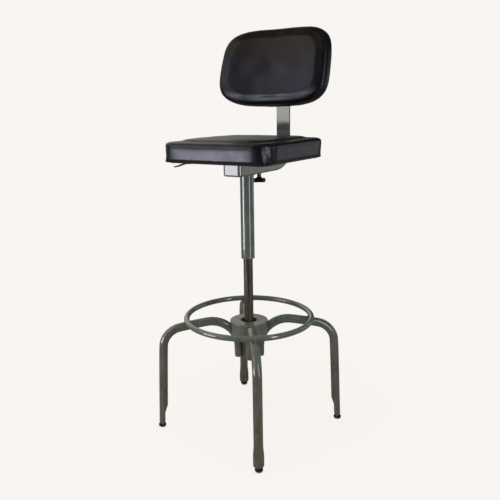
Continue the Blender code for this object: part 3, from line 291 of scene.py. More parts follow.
def birch_plywood(name):
    """Rotary-cut plywood: long grain along X, with darker lines every few millimetres."""
    material, tree, shader, place = start_material(name)
    long_grain = stretch(tree, place, (0.06, 1, 1))
    lines = spots(tree, long_grain, 0.004, 0.35, 0.70, 6.0)
    base = blend(tree, lines, linear_colour("#A98658"), linear_colour("#7F5E38"))
    surface = raise_surface(tree, lines, 0.0001, 0.4)
    fill_sockets(tree, shader, {"Base Color": base, "Roughness": 0.65, "Normal": surface})
    return material


def make_finishes():
    """Every finish of the stool: one for each material slot of the record, and two more for single pieces.

    The strap's enamel is the same paint made darker as painted shade, and the backrest duller than the seat.
    """
    c = colours()
    return {
        "green_grey_enamel": baked_enamel("baked_enamel", tuple(c.enamel), 0.31),
        "hub_enamel": baked_enamel("hub_enamel", tuple(c.drum)),
        # Darker copy of the enamel: painted shade on the strap
        "strap": baked_enamel("strap_enamel_painted_shade", tuple(c.strap), wobble=0.05),
        "worn_steel": rubbed_post("rubbed_post", tuple(c.post)),
        # The seat's higher IOR than the backrest's makes it reflect more: painted highlight standing in for
        # brighter light on the seat
        "black_vinyl": calendered_vinyl("calendered_vinyl", tuple(c.vinyl), 0.27, 0.35, 1.62),
        "back_vinyl": calendered_vinyl("calendered_vinyl_dull", tuple(c.vinyl), 0.31, 0.38, 1.52),
        "black_plastic": plain_finish("moulded_phenolic", "#08080A", 0.22),
        "black_rubber": plain_finish("moulded_rubber", "#141312", 0.65, spread=0.3),
        "nickel_plate": plain_finish("nickel_plate", "#E4DED4", 0.38, 0.60),
        "zinc_steel": plain_finish("zinc_plated_steel", "#A5A6A3", 0.34, 1.0),
        "nylon": plain_finish("moulded_nylon", "#CFCCC2", 0.50, spread=0.05),
        "plywood": birch_plywood("birch_plywood"),
        "black_board": plain_finish("black_fibreboard", "#151617", 0.55, grain=0.0015, bump=0.00008),
    }


def deselect_all():
    if bpy.context.object and bpy.context.object.mode != "OBJECT":
        bpy.ops.object.mode_set(mode="OBJECT")
    bpy.ops.object.select_all(action="DESELECT")


def make_active(piece):
    deselect_all()
    piece.select_set(True)
    bpy.context.view_layer.objects.active = piece


def edit_whole(piece):
    """Enter edit mode on a piece with all of it selected."""
    make_active(piece)
    bpy.ops.object.mode_set(mode="EDIT")
    bpy.ops.mesh.select_all(action="SELECT")


def leave_edit():
    bpy.ops.object.mode_set(mode="OBJECT")


def pick_faces(piece, wanted):
    """Enter edit mode on a piece with the faces selected whose centre is wanted."""
    make_active(piece)
    for part in (piece.data.vertices, piece.data.edges, piece.data.polygons):
        for item in part:
            item.select = False
    for face in piece.data.polygons:
        face.select = wanted(face.center)
    bpy.ops.object.mode_set(mode="EDIT")
    bpy.ops.mesh.select_mode(type="FACE")


def apply_modifiers(piece):
    make_active(piece)
    for modifier in list(piece.modifiers):
        bpy.ops.object.modifier_apply(modifier=modifier.name)


def ease_edges(piece, width, segments=2, angle=30):
    """Round every edge that is sharper than an angle in degrees."""
    bevel = piece.modifiers.new("ease", "BEVEL")
    bevel.width = width
    bevel.segments = segments
    bevel.limit_method = "ANGLE"
    bevel.angle_limit = radians(angle)
    apply_modifiers(piece)


def settle(piece):
    """Put a piece's place, turn and scale into its mesh."""
    make_active(piece)
    bpy.ops.object.transform_apply(location=True, rotation=True, scale=True)


def node_copy(node, name, flat=0):
    """A merged copy of a CAD node, as a piece of its own. Faces within flat degrees become one."""
    piece = bpy.data.objects.new(name, frame["nodes"][node].data.copy())
    bpy.context.scene.collection.objects.link(piece)
    edit_whole(piece)
    bpy.ops.mesh.remove_doubles(threshold=1e-5)
    bpy.ops.mesh.normals_make_consistent(inside=False)
    if flat:
        bpy.ops.mesh.dissolve_limited(angle_limit=radians(flat))
    leave_edit()
    return piece


def own_copy(piece, name, matrix):
    """A copy with its own mesh, moved by a matrix."""
    other = piece.copy()
    other.data = piece.data.copy()
    other.name = name
    bpy.context.scene.collection.objects.link(other)
    other.data.transform(matrix)
    return other


def add_torus(name, radius, rod, around, across, place=(0, 0, 0)):
    """Add a torus by its radius, its rod's radius, and its segments around it and across the rod."""
    deselect_all()
    bpy.ops.mesh.primitive_torus_add(
        major_segments=around, minor_segments=across, major_radius=radius, minor_radius=rod, location=place
    )
    torus = bpy.context.object
    torus.name = name
    return torus


def wrap_torus(torus, place_at):
    """Lay a torus of radius 1 along a path. place_at takes an angle, a way outwards and a height."""
    for vertex in torus.data.vertices:
        p = vertex.co
        off = sqrt(p.x * p.x + p.y * p.y) - 1
        vertex.co = place_at(atan2(p.y, p.x), off, p.z)
    edit_whole(torus)
    bpy.ops.mesh.normals_make_consistent(inside=False)
    leave_edit()


def arc_angles(steps, whole=pi / 2):
    """Angles from 0 to the whole in equal steps, with both ends."""
    return [whole * i / steps for i in range(steps + 1)]


def turned(name, profile, steps=48, closed=True):
    """Piece turned about Z from a profile of (radius, height) points."""
    mesh = bpy.data.meshes.new(name)
    last = len(profile) - 1
    edges = [(i, i + 1) for i in range(last)]
    if closed:
        edges.append((last, 0))
    mesh.from_pydata([(r, 0, z) for r, z in profile], edges, [])
    piece = bpy.data.objects.new(name, mesh)
    bpy.context.scene.collection.objects.link(piece)
    edit_whole(piece)
    bpy.ops.mesh.spin(steps=steps, angle=2 * pi, center=(0, 0, 0), axis=(0, 0, 1))
    bpy.ops.mesh.select_all(action="SELECT")
    bpy.ops.mesh.remove_doubles(threshold=1e-6)
    bpy.ops.mesh.normals_make_consistent(inside=False)
    leave_edit()
    return piece


def take_away(piece, cutter):
    """Cut a closed piece out of another, and delete it."""
    cut = piece.modifiers.new("cut", "BOOLEAN")
    cut.operation = "DIFFERENCE"
    cut.solver = "EXACT"
    cut.object = cutter
    apply_modifiers(piece)
    bpy.data.objects.remove(cutter)


def finish_piece(piece, body, slot, stands_for=(), smooth=40):
    """Give a piece the finish of its slot, its body and the nodes that it stands for."""
    piece.data.materials.clear()
    piece.data.materials.append(FINISHES[slot])
    make_active(piece)
    bpy.ops.object.shade_smooth_by_angle(angle=radians(smooth))
    if smooth < 90:
        # Large faces keep their flat shading beside their eased edges
        weigh = piece.modifiers.new("weigh", "WEIGHTED_NORMAL")
        weigh.keep_sharp = True
        apply_modifiers(piece)
    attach(piece, body)
    if stands_for:
        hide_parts(*stands_for)


def spread(piece, values, rounds):
    """Average each vertex's value with its neighbours' a number of times."""
    edges = [tuple(edge.vertices) for edge in piece.data.edges]
    for _ in range(rounds):
        total = list(values)
        count = [1] * len(values)
        for a, b in edges:
            total[a] += values[b]
            total[b] += values[a]
            count[a] += 1
            count[b] += 1
        values = [t / n for t, n in zip(total, count)]
    return values


HELD_EDGE_ROUNDS = 8
CLOTH_FRAMES = 20
FOAM_ROUNDS = 24


def swell(piece, shrunk, cap, held):
    """Draw a closed piece in by shrunk and blow it up with cloth.

    Held points stay where they are, and no other point moves further than cap.
    """
    free = [0.0 if held(v.co, v.normal) else 1.0 for v in piece.data.vertices]
    free = spread(piece, free, HELD_EDGE_ROUNDS)
    start = [v.co.copy() for v in piece.data.vertices]
    normals = [v.normal.copy() for v in piece.data.vertices]
    for vertex, normal, share in zip(piece.data.vertices, normals, free):
        vertex.co -= normal * (shrunk * share)
    group = piece.vertex_groups.new(name="held")
    group.add([i for i, share in enumerate(free) if share < 0.1], 1.0, "REPLACE")
    cloth = piece.modifiers.new("cloth", "CLOTH")
    settings = cloth.settings
    settings.use_pressure = True
    settings.uniform_pressure_force = 4.0
    settings.effector_weights.gravity = 0.0
    settings.vertex_group_mass = "held"
    settings.quality = 5
    settings.tension_stiffness = 20
    settings.compression_stiffness = 20
    settings.bending_stiffness = 1.0
    scene = bpy.context.scene
    for number in range(1, CLOTH_FRAMES + 1):
        scene.frame_set(number)
    apply_modifiers(piece)
    # Foam under the vinyl evens the cloth's small creases out
    moves = [(v.co - place).dot(normal) for v, place, normal in zip(piece.data.vertices, start, normals)]
    moves = spread(piece, moves, FOAM_ROUNDS)
    middle = sum(moves) / len(moves)
    for vertex, place, normal, move, share in zip(piece.data.vertices, start, normals, moves, free):
        vertex.co = place + normal * (min(max(move - middle, -cap), cap) * share)
    scene.frame_set(1)
    piece.vertex_groups.clear()


def remesh(piece, voxel):
    modifier = piece.modifiers.new("remesh", "REMESH")
    modifier.mode = "VOXEL"
    modifier.voxel_size = voxel
    apply_modifiers(piece)


def refine(piece, rounds=2):
    """Even out the voxel steps, then subdivide once."""
    even = piece.modifiers.new("even", "SMOOTH")
    even.iterations = rounds
    even.factor = 0.5
    finer = piece.modifiers.new("finer", "SUBSURF")
    finer.levels = 1
    finer.render_levels = 1
    apply_modifiers(piece)


def fit_box(piece, low, high):
    """Stretch a piece to a box, so that the cloth's tension doesn't make it smaller than its solid."""
    own_low = Vector([min(v.co[k] for v in piece.data.vertices) for k in range(3)])
    own_high = Vector([max(v.co[k] for v in piece.data.vertices) for k in range(3)])
    for vertex in piece.data.vertices:
        for k in range(3):
            share = (vertex.co[k] - own_low[k]) / (own_high[k] - own_low[k])
            vertex.co[k] = low[k] + share * (high[k] - low[k])


def press_marks(piece, depth_at):
    """Move every vertex out along its normal by what depth_at gives for its place."""
    normals = [v.normal.copy() for v in piece.data.vertices]
    for vertex, normal in zip(piece.data.vertices, normals):
        vertex.co += normal * depth_at(vertex.co, normal)


def bump_of(place, grain, seed):
    """Smooth noise from -1 to 1 with features about grain across."""
    return noise.noise(place / grain + Vector((seed, 3.1 * seed, 7.7 * seed)))


def fold_profile(away, width):
    """Depth of a fold across its line, as a share: in at the line, and out a little on both sides."""
    share = abs(away) / width
    if share < 1:
        return -((1 - share * share) ** 2)
    if share < 2.4:
        return 0.35 * (1 - abs(share - 1.7) / 0.7)
    return 0.0


class STOOL_OT_stage(bpy.types.Operator):
    """Floor, world, lamps and the camera at the photograph's angle"""

    bl_idname = "stool.stage"
    bl_label = "Stage"

    def execute(self, context):
        set_world()
        add_floor()
        add_lamps()
        add_camera()
        context.scene.view_settings.view_transform = "Standard"
        return {"FINISHED"}


WORLD_LIGHT = 0.56
MIRRORED_BRIGHT = 0.70
MIRRORED_DARK = 0.015
MIRRORED_FLOOR = 0.14
BRIGHT_SIDE = Vector((-0.90, 0.40, 0.25))
BRIGHT_FROM = 0.72
BRIGHT_FULL = 0.93


def background_share(tree):
    """1 for what the camera, metal and glass see, and 0 for the light that falls on the object."""
    path = add_node(tree, "LightPath").outputs
    rays = {0: path["Is Glossy Ray"], 1: path["Is Transmission Ray"]}
    mirror = add_node(tree, "Math", rays, operation="MAXIMUM")
    shown = add_node(tree, "Math", {0: path["Is Camera Ray"], 1: mirror.outputs[0]}, operation="MAXIMUM")
    return shown.outputs[0], mirror.outputs[0]


def set_world():
    """Pale backdrop for the camera, dimmer and uneven in reflections as in a room, and an even light."""
    world = bpy.data.worlds.new("studio")
    bpy.context.scene.world = world
    world.use_nodes = True
    tree = world.node_tree
    tree.nodes.clear()
    shown, mirror = background_share(tree)
    heading = add_node(tree, "TexCoord").outputs["Generated"]
    side = {0: heading, 1: BRIGHT_SIDE.normalized()}
    facing = add_node(tree, "VectorMath", side, operation="DOT_PRODUCT").outputs["Value"]
    room = span(tree, facing, MIRRORED_DARK, MIRRORED_BRIGHT, BRIGHT_FROM, BRIGHT_FULL)
    seen = add_node(tree, "Mix", {0: mirror, 2: 1.0, 3: room}, data_type="FLOAT").outputs[0]
    strength = add_node(tree, "Mix", {0: shown, 2: WORLD_LIGHT, 3: seen}, data_type="FLOAT").outputs[0]
    tint = blend(tree, mirror, tuple(colours().background), linear_colour("#F1F2E2"))
    back = add_node(tree, "Background", {"Color": tint, "Strength": strength})
    add_node(tree, "OutputWorld", {"Surface": back.outputs[0]})


FLOOR_HALF = 9.0
SHADOW_SHARE = 0.08
SHADOW_FADES_FROM = 0.35
SHADOW_ENDS = 1.1


def add_floor():
    """Flat pale floor that shows the backdrop's colour, with a faint shadow near the stool."""
    deselect_all()
    bpy.ops.mesh.primitive_grid_add(x_subdivisions=8, y_subdivisions=8, size=2 * FLOOR_HALF)
    floor = bpy.context.object
    floor.name = "studio_floor"
    material = bpy.data.materials.new("pale_paper")
    material.use_nodes = True
    tree = material.node_tree
    tree.nodes.clear()
    shown, mirror = background_share(tree)
    seen = span(tree, mirror, 1.0, MIRRORED_FLOOR)
    flat = add_node(tree, "Emission", {"Color": tuple(colours().background), "Strength": seen})
    paper = add_node(tree, "BsdfDiffuse", {"Color": linear_colour("#F4F1EE")})
    place = add_node(tree, "TexCoord").outputs["Object"]
    reach = add_node(tree, "VectorMath", {0: place}, operation="LENGTH").outputs["Value"]
    share = span(tree, reach, SHADOW_SHARE, 0.0, SHADOW_FADES_FROM, SHADOW_ENDS)
    over = add_node(tree, "MixShader", {0: share, 1: flat.outputs[0], 2: paper.outputs[0]})
    dim = add_node(tree, "BsdfDiffuse", {"Color": linear_colour("#9C968F")})
    whole = add_node(tree, "MixShader", {0: shown, 1: dim.outputs[0], 2: over.outputs[0]})
    add_node(tree, "OutputMaterial", {"Surface": whole.outputs[0]})
    floor.data.materials.append(material)


def add_lamp(name, azimuth, distance, height, width, tall, radiance, text, aim_height, mirrored=True):
    """A soft box at an azimuth, which is 0 in front of the seat and grows towards +X."""
    a = radians(azimuth)
    data = bpy.data.lights.new(name, "AREA")
    data.shape = "RECTANGLE"
    data.size = width
    data.size_y = tall
    data.energy = radiance * pi * width * tall
    data.color = linear_colour(text)[:3]
    lamp = bpy.data.objects.new(name, data)
    bpy.context.scene.collection.objects.link(lamp)
    lamp.location = (distance * sin(a), -distance * cos(a), height)
    aim = Vector((0, 0, aim_height)) - lamp.location
    lamp.rotation_euler = aim.to_track_quat("-Z", "Y").to_euler()
    lamp.visible_camera = False
    lamp.visible_glossy = mirrored


def add_lamps():
    add_lamp("window_front_left", -35, 2.2, 0.32, 0.95, 0.62, 6.6, "#F8F8FF", 0.32)
    add_lamp("sill_front_left", -36, 2.2, 0.915, 0.90, 0.17, 3.8, "#F8F8F2", 0.915)
    add_lamp("window_right", 75, 1.9, 1.00, 0.30, 1.96, 5.0, "#F4F8FF", 1.00)
    add_lamp("wall_front_left", -47, 2.6, 1.95, 1.7, 1.05, 1.4, "#E8EEFF", 1.3)
    add_lamp("wall_high_left", -50, 2.4, 3.1, 1.8, 0.9, 1.2, "#FFD2A0", 1.0)
    add_lamp("wall_behind_right", 146, 3.0, 0.8, 1.9, 1.3, 0.5, "#F0F3F6", 0.8)
    add_lamp("ceiling", 10, 0.3, 2.9, 1.7, 1.7, 4.8, "#FFF0DC", 0.0, mirrored=False)


# Camera fitted to the feet, the ring, the column, the seat and the backrest in a 500 x 500 frame
CAMERA_PLACE = Vector((0.94768, -1.45833, 0.94398))
CAMERA_YAW = radians(34.217)
CAMERA_PITCH = radians(13.12)
CAMERA_ROLL = radians(-1.162)
CAMERA_FOCAL = 627.42
CAMERA_CENTRE = (235.12, 249.69)
PICTURE = 500
SENSOR = 36.0


def add_camera():
    data = bpy.data.cameras.new("camera")
    data.sensor_width = SENSOR
    data.lens = CAMERA_FOCAL / PICTURE * SENSOR
    data.shift_x = (PICTURE / 2 - CAMERA_CENTRE[0]) / PICTURE
    data.shift_y = (CAMERA_CENTRE[1] - PICTURE / 2) / PICTURE
    camera = bpy.data.objects.new("camera", data)
    bpy.context.scene.collection.objects.link(camera)
    level = cos(CAMERA_PITCH)
    ahead = Vector((-sin(CAMERA_YAW) * level, cos(CAMERA_YAW) * level, -sin(CAMERA_PITCH)))
    right = Vector((cos(CAMERA_YAW), sin(CAMERA_YAW), 0))
    upright = Matrix((right, right.cross(ahead), -ahead)).transposed()
    turn = upright @ Matrix.Rotation(CAMERA_ROLL, 3, "Z")
    camera.matrix_world = Matrix.Translation(CAMERA_PLACE) @ turn.to_4x4()
    bpy.context.scene.camera = camera


class STOOL_OT_metalwork(bpy.types.Operator):
    """Finishes for the solids that stay as they are"""

    bl_idname = "stool.metalwork"
    bl_label = "Metalwork finishes"

    def execute(self, context):
        for entry in frame["record"]["subparts"]:
            node = frame["nodes"][entry["node"]]
            node.data.materials.clear()
            node.data.materials.append(FINISHES[entry["material_slot"]])
        return {"FINISHED"}


FOOT_CUTS = (0.0735, 0.0665, 0.0480, 0.0425, 0.0180, 0.0152, 0.0108)


class STOOL_OT_legs(bpy.types.Operator):
    """Four bent tubes, each smoothed from its solid"""

    bl_idname = "stool.legs"
    bl_label = "Legs"

    def execute(self, context):
        # A subdivided tube of 18 sides is 2 percent slimmer, which is 0.26 mm
        loss = 0.02 * LEG_TUBE_R
        first = node_copy(LEG_NAMES[0], "tube_front")
        edit_whole(first)
        bpy.ops.mesh.tris_convert_to_quads(face_threshold=radians(40), shape_threshold=radians(40))
        bpy.ops.transform.shrink_fatten(value=loss)
        # Close cuts hold the edges of the pressed foot when the tube is subdivided
        for height in FOOT_CUTS:
            bpy.ops.mesh.select_all(action="SELECT")
            bpy.ops.mesh.bisect(plane_co=(0, 0, height), plane_no=(0, 0, 1))
        leave_edit()
        finer = first.modifiers.new("finer", "SUBSURF")
        finer.levels = 2
        finer.render_levels = 2
        apply_modifiers(first)
        for k, name in enumerate(LEG_NAMES[1:], 1):
            turn = Matrix.Rotation(pi / 2 * k, 4, "Z")
            tube = own_copy(first, name.replace("leg", "tube"), turn)
            finish_piece(tube, "base", "green_grey_enamel", [name])
        finish_piece(first, "base", "green_grey_enamel", [LEG_NAMES[0]])
        return {"FINISHED"}


def leg_frame(k):
    """Point where the ring rests on a leg, and the ways along the ring, along the leg and out of it."""
    a = LEG_AZIMUTHS[k]
    out = Vector((cos(a), sin(a), 0))
    up = Vector((0, 0, 1))
    normal = out * sin(RUN_FALL) + up * cos(RUN_FALL)
    low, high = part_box("foot_ring")
    centre = out * RING_RADIUS + up * ((low.z + high.z) / 2)
    ring_way = Vector((-sin(a), cos(a), 0))
    leg_way = out * cos(RUN_FALL) - up * sin(RUN_FALL)
    return centre - normal * RING_ROD_R, ring_way, leg_way, normal


CONTACT_HALF_S = 0.0078
CONTACT_HALF_W = 0.0062


def bead_round_contact(name, k):
    """Weld bead round the spot where the ring rests on a leg."""
    bead = add_torus(name, 1.0, sizes().bead_radius, 64, 10)
    contact, ring_way, leg_way, normal = leg_frame(k)

    def place_at(angle, off, height):
        # Each tack of the rod leaves a ripple of about 2 mm
        ripple = 1 + 0.13 * sin(18 * angle + k) + 0.10 * sin(5 * angle + 2 * k)
        s = (CONTACT_HALF_S + off * ripple) * cos(angle)
        w = (CONTACT_HALF_W + off * ripple) * sin(angle)
        rise = (w * w / (2 * RING_ROD_R) - s * s / (2 * LEG_TUBE_R)) / 2
        return contact + ring_way * s + leg_way * w + normal * (rise + height * ripple)

    wrap_torus(bead, place_at)
    return bead


class STOOL_OT_foot_ring(bpy.types.Operator):
    """Ring of bent rod with its butt weld, and a bead of weld at each leg"""

    bl_idname = "stool.foot_ring"
    bl_label = "Foot ring"

    def execute(self, context):
        low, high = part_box("foot_ring")
        ring = add_torus("rod_ring", RING_RADIUS, RING_ROD_R, 144, 20, (0, 0, (low.z + high.z) / 2))
        settle(ring)
        seam = radians(118)
        pick_faces(ring, lambda c: abs(atan2(c.y, c.x) - seam) < radians(1.3))
        bpy.ops.transform.shrink_fatten(value=0.0004)
        leave_edit()
        finish_piece(ring, "base", "green_grey_enamel", ["foot_ring"], smooth=60)
        for k in range(4):
            weld = bead_round_contact("ring_weld_%d" % (k + 1), k)
            finish_piece(weld, "base", "green_grey_enamel", smooth=180)
        return {"FINISHED"}


class STOOL_OT_post(bpy.types.Operator):
    """Inner tube of the height slide, with a rounded top"""

    bl_idname = "stool.post"
    bl_label = "Post"

    def execute(self, context):
        low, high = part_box("post")
        edge = 0.0010
        profile = [
            (POST_R, low.z),
            (POST_R, high.z - edge),
            (POST_R - edge, high.z),
            (POST_BORE_R, high.z),
            (POST_BORE_R, low.z),
        ]
        finish_piece(turned("inner_tube", profile, 64), "base", "worn_steel", ["post"])
        return {"FINISHED"}


class STOOL_OT_column(bpy.types.Operator):
    """Outer tube with its rolled lower end, welded to the channel"""

    bl_idname = "stool.column"
    bl_label = "Column"

    def execute(self, context):
        low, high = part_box("column_tube")
        roll = 0.0024
        profile = []
        for a in arc_angles(6):
            profile.append((COLUMN_R - 0.45 * roll * (1 - sin(a)), low.z + roll * (1 - cos(a))))
        profile += [(COLUMN_R, high.z), (COLUMN_BORE_R, high.z), (COLUMN_BORE_R, low.z)]
        finish_piece(turned("outer_tube", profile, 72), "seat", "green_grey_enamel", ["column_tube"])
        radius = sizes().bead_radius
        place = (0, 0, high.z - 0.3 * radius)
        bead = add_torus("column_weld", COLUMN_R + 0.4 * radius, radius, 120, 10, place)
        settle(bead)
        for vertex in bead.data.vertices:
            angle = atan2(vertex.co.y, vertex.co.x)
            off = Vector((vertex.co.x, vertex.co.y, 0)).length - COLUMN_R
            ripple = 0.16 * radius * sin(44 * angle) * (off / radius)
            vertex.co += Vector((cos(angle), sin(angle), -0.4)) * ripple
        finish_piece(bead, "seat", "green_grey_enamel", smooth=180)
        return {"FINISHED"}


class STOOL_OT_hub(bpy.types.Operator):
    """Pressed drum with a rolled rim, notched where the legs enter"""

    bl_idname = "stool.hub"
    bl_label = "Hub"

    def execute(self, context):
        low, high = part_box("hub_drum")
        top_r = high.x
        bottom_r = top_r - 0.0018
        hole_r = 0.0235
        wall = 0.0030
        rim = 0.0020
        hole_rim = 0.0016
        notch_gap = 0.0004
        profile = [(bottom_r, low.z)]
        for a in arc_angles(6):
            profile.append((top_r - rim * (1 - cos(a)), high.z - rim * (1 - sin(a))))
        for a in arc_angles(4):
            profile.append((hole_r + hole_rim * (1 - sin(a)), high.z - hole_rim * (1 - cos(a))))
        profile += [(hole_r, high.z - wall), (top_r - wall, high.z - wall), (bottom_r - wall, low.z)]
        drum = turned("pressed_drum", profile, 96)
        for a in LEG_AZIMUTHS:
            arch = add_torus("arch_cutter", ARCH_RADIUS, LEG_TUBE_R + notch_gap, 96, 24)
            middle = LEG_INNER_R + ARCH_RADIUS
            arch.matrix_world = (
                Matrix.Translation((middle * cos(a), middle * sin(a), ARCH_TOP_Z - ARCH_RADIUS))
                @ Matrix.Rotation(a, 4, "Z")
                @ Matrix.Rotation(pi / 2, 4, "X")
            )
            settle(arch)
            take_away(drum, arch)
        finish_piece(drum, "base", "hub_enamel", ["hub_drum"])
        return {"FINISHED"}


class STOOL_OT_feet(bpy.types.Operator):
    """Nickel glides with a domed edge, and the rubber pads above them"""

    bl_idname = "stool.feet"
    bl_label = "Feet"

    def execute(self, context):
        low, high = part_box("glide_front")
        pad_low, pad_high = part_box("foot_pad_front")
        radius = (high.x - low.x) / 2
        stem = 0.0030
        skirt = pad_low.z - 0.0003
        dome_r = 0.0062
        edge = 0.0004
        profile = [(0, 0), (0.0045, 0.0001)]
        for a in arc_angles(7):
            profile.append((dome_r + (radius - dome_r) * sin(a), 0.0029 - 0.0027 * cos(a)))
        profile += [(radius, skirt - edge), (radius - edge, skirt)]
        profile += [(stem, skirt), (stem, high.z), (0, high.z)]
        bulge = (pad_high.x - pad_low.x) / 2
        tall = pad_high.z - pad_low.z
        rubber = [(stem + 0.0003, pad_low.z), (stem + 0.0003, pad_high.z)]
        for a in arc_angles(8, pi):
            rubber.append((bulge - 0.0012 * (1 - sin(a)), pad_high.z - tall * (1 - cos(a)) / 2))
        centre = (low + high) / 2
        for piece, what, slot in (
            (turned("dome", profile, 48, closed=False), "glide", "nickel_plate"),
            (turned("pad", rubber, 48), "foot_pad", "black_rubber"),
        ):
            for k, leg in enumerate(LEG_NAMES):
                side = leg.split("_")[1]
                where = Matrix.Rotation(pi / 2 * k, 4, "Z") @ Matrix.Translation((centre.x, centre.y, 0))
                copy = own_copy(piece, "%s_%s" % (piece.name, side), where)
                finish_piece(copy, "base", slot, ["%s_%s" % (what, side)])
            bpy.data.objects.remove(piece)
        return {"FINISHED"}


class STOOL_OT_fittings(bpy.types.Operator):
    """Knobs, slide, hinge and bolts, with their edges eased"""

    bl_idname = "stool.fittings"
    bl_label = "Fittings"

    def execute(self, context):
        for node, name, width, body, slot in (
            ("lever_bolt", "shoulder_bolt", 0.0003, "seat", "zinc_steel"),
            ("seat_knob", "seat_tee", 0.0007, "seat_clamp", "black_plastic"),
            ("back_knob", "back_tee", 0.0007, "back_clamp", "black_plastic"),
            ("back_slide", "slide_sleeve", 0.0008, "slide", "green_grey_enamel"),
            ("back_hinge_bracket", "hinge_ears", 0.0005, "backrest", "green_grey_enamel"),
            ("back_hinge_pin", "hinge_rivet", 0.0004, "slide", "zinc_steel"),
        ):
            piece = node_copy(node, name, flat=2)
            ease_edges(piece, width, 3, 35)
            finish_piece(piece, body, slot, [node])
        return {"FINISHED"}


LEVER_PIVOT = Vector((-0.0400, -0.0330, 0))
LEVER_TIP = Vector((-0.1300, -0.1560, 0))
LEVER_RISE = 0.0030
# Shares of the way from the pivot to the tip
LEVER_CUTS = (0.16, 0.20, 0.24, 0.28, 0.32, 0.75, 0.80, 0.84, 0.88, 0.92)
LEVER_UP_FROM = 0.16
LEVER_DOWN_FROM = 0.78
LEVER_BEND = 0.16


class STOOL_OT_lever(bpy.types.Operator):
    """Flat bar that is joggled up against the seat board outside the channel, with its tip turned down"""

    bl_idname = "stool.lever"
    bl_label = "Height lever"

    def execute(self, context):
        lever = node_copy("height_lever", "lever_bar", flat=2)
        reach = LEVER_TIP - LEVER_PIVOT
        edit_whole(lever)
        for share in LEVER_CUTS:
            bpy.ops.mesh.select_all(action="SELECT")
            bpy.ops.mesh.bisect(plane_co=LEVER_PIVOT + reach * share, plane_no=reach.normalized())
        leave_edit()
        for vertex in lever.data.vertices:
            flat = Vector((vertex.co.x, vertex.co.y, 0)) - LEVER_PIVOT
            share = flat.dot(reach) / reach.length_squared
            up = smooth_step((share - LEVER_UP_FROM) / LEVER_BEND)
            up -= smooth_step((share - LEVER_DOWN_FROM) / LEVER_BEND)
            vertex.co.z += LEVER_RISE * up
        ease_edges(lever, 0.0006, 2, 35)
        finish_piece(lever, "lever", "green_grey_enamel", ["height_lever"])
        return {"FINISHED"}


def smooth_step(share):
    share = min(max(share, 0), 1)
    return share * share * (3 - 2 * share)


class STOOL_OT_strap(bpy.types.Operator):
    """Flat bar, bent cold behind the seat, with its rolled edges eased"""

    bl_idname = "stool.strap"
    bl_label = "Back strap"

    def execute(self, context):
        strap = node_copy("back_strap", "strap_bar", flat=1)
        ease_edges(strap, 0.0007, 3, 35)
        finish_piece(strap, "strap", "green_grey_enamel", ["back_strap"])
        # The strap's darker enamel is painted shade
        strap.data.materials[0] = FINISHES["strap"]
        return {"FINISHED"}


SCREW_SHANK_R = 0.0021
RECESS_SIZE = (0.0052, 0.0011, 0.0026)


class STOOL_OT_screws(bpy.types.Operator):
    """Pan-head screws with a cross recess, in the seat board and in the back board"""

    bl_idname = "stool.screws"
    bl_label = "Screws"

    def execute(self, context):
        low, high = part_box("seat_screw_1")
        length = high.z - low.z - SCREW_HEAD_HEIGHT
        profile = [(0, -SCREW_HEAD_HEIGHT)]
        for a in arc_angles(7)[1:]:
            profile.append((SCREW_HEAD_R * sin(a), -SCREW_HEAD_HEIGHT * (0.25 + 0.75 * cos(a) ** 0.6)))
        profile += [(SCREW_HEAD_R, 0), (SCREW_SHANK_R, 0), (SCREW_SHANK_R, length), (0, length)]
        screw = turned("pan_head", profile, 32, closed=False)
        for turn in (0, pi / 2):
            deselect_all()
            bpy.ops.mesh.primitive_cube_add(size=1, location=(0, 0, -SCREW_HEAD_HEIGHT))
            slot = bpy.context.object
            slot.scale = RECESS_SIZE
            slot.rotation_euler.z = turn
            settle(slot)
            take_away(screw, slot)
        for k in range(1, 5):
            low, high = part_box("seat_screw_%d" % k)
            centre = (low + high) / 2
            up = Matrix.Translation((centre.x, centre.y, low.z + SCREW_HEAD_HEIGHT))
            piece = own_copy(screw, "seat_pan_head_%d" % k, up @ Matrix.Rotation(0.7 * k, 4, "Z"))
            finish_piece(piece, "seat", "zinc_steel", ["seat_screw_%d" % k])
            node = "back_bracket_screw_%d" % k
            low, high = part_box(node)
            # The head's rim is the part of the node that reaches furthest back and down
            lean = Matrix.Rotation(pi / 2 - BACK_LEAN, 4, "X")
            reach = lean @ Vector((0, 0, -SCREW_HEAD_HEIGHT))
            half = SCREW_HEAD_R * sin(BACK_LEAN)
            place = Vector(((low.x + high.x) / 2, high.y - reach.y - half, 0))
            place.z = low.z - reach.z + SCREW_HEAD_R * cos(BACK_LEAN)
            piece = own_copy(screw, "back_pan_head_%d" % k, Matrix.Translation(place) @ lean)
            finish_piece(piece, "backrest", "zinc_steel", [node])
        bpy.data.objects.remove(screw)
        return {"FINISHED"}


HEM_INSET = 0.0105
HEM_CORNER = 0.034
HEM_TUCK = 0.0030
HEM_TUCK_REACH = 0.0023
HEM_FLAT_REACH = 0.006
HEM_THICKNESS = 0.0009
HEM_PLEAT = 0.0006
STAPLE_SIZE = (0.0110, 0.0010, 0.0006)
STAPLE_FROM_CORNER = 0.030
STAPLE_LINE = 0.62
CHANNEL_CLEAR_X = 0.0520


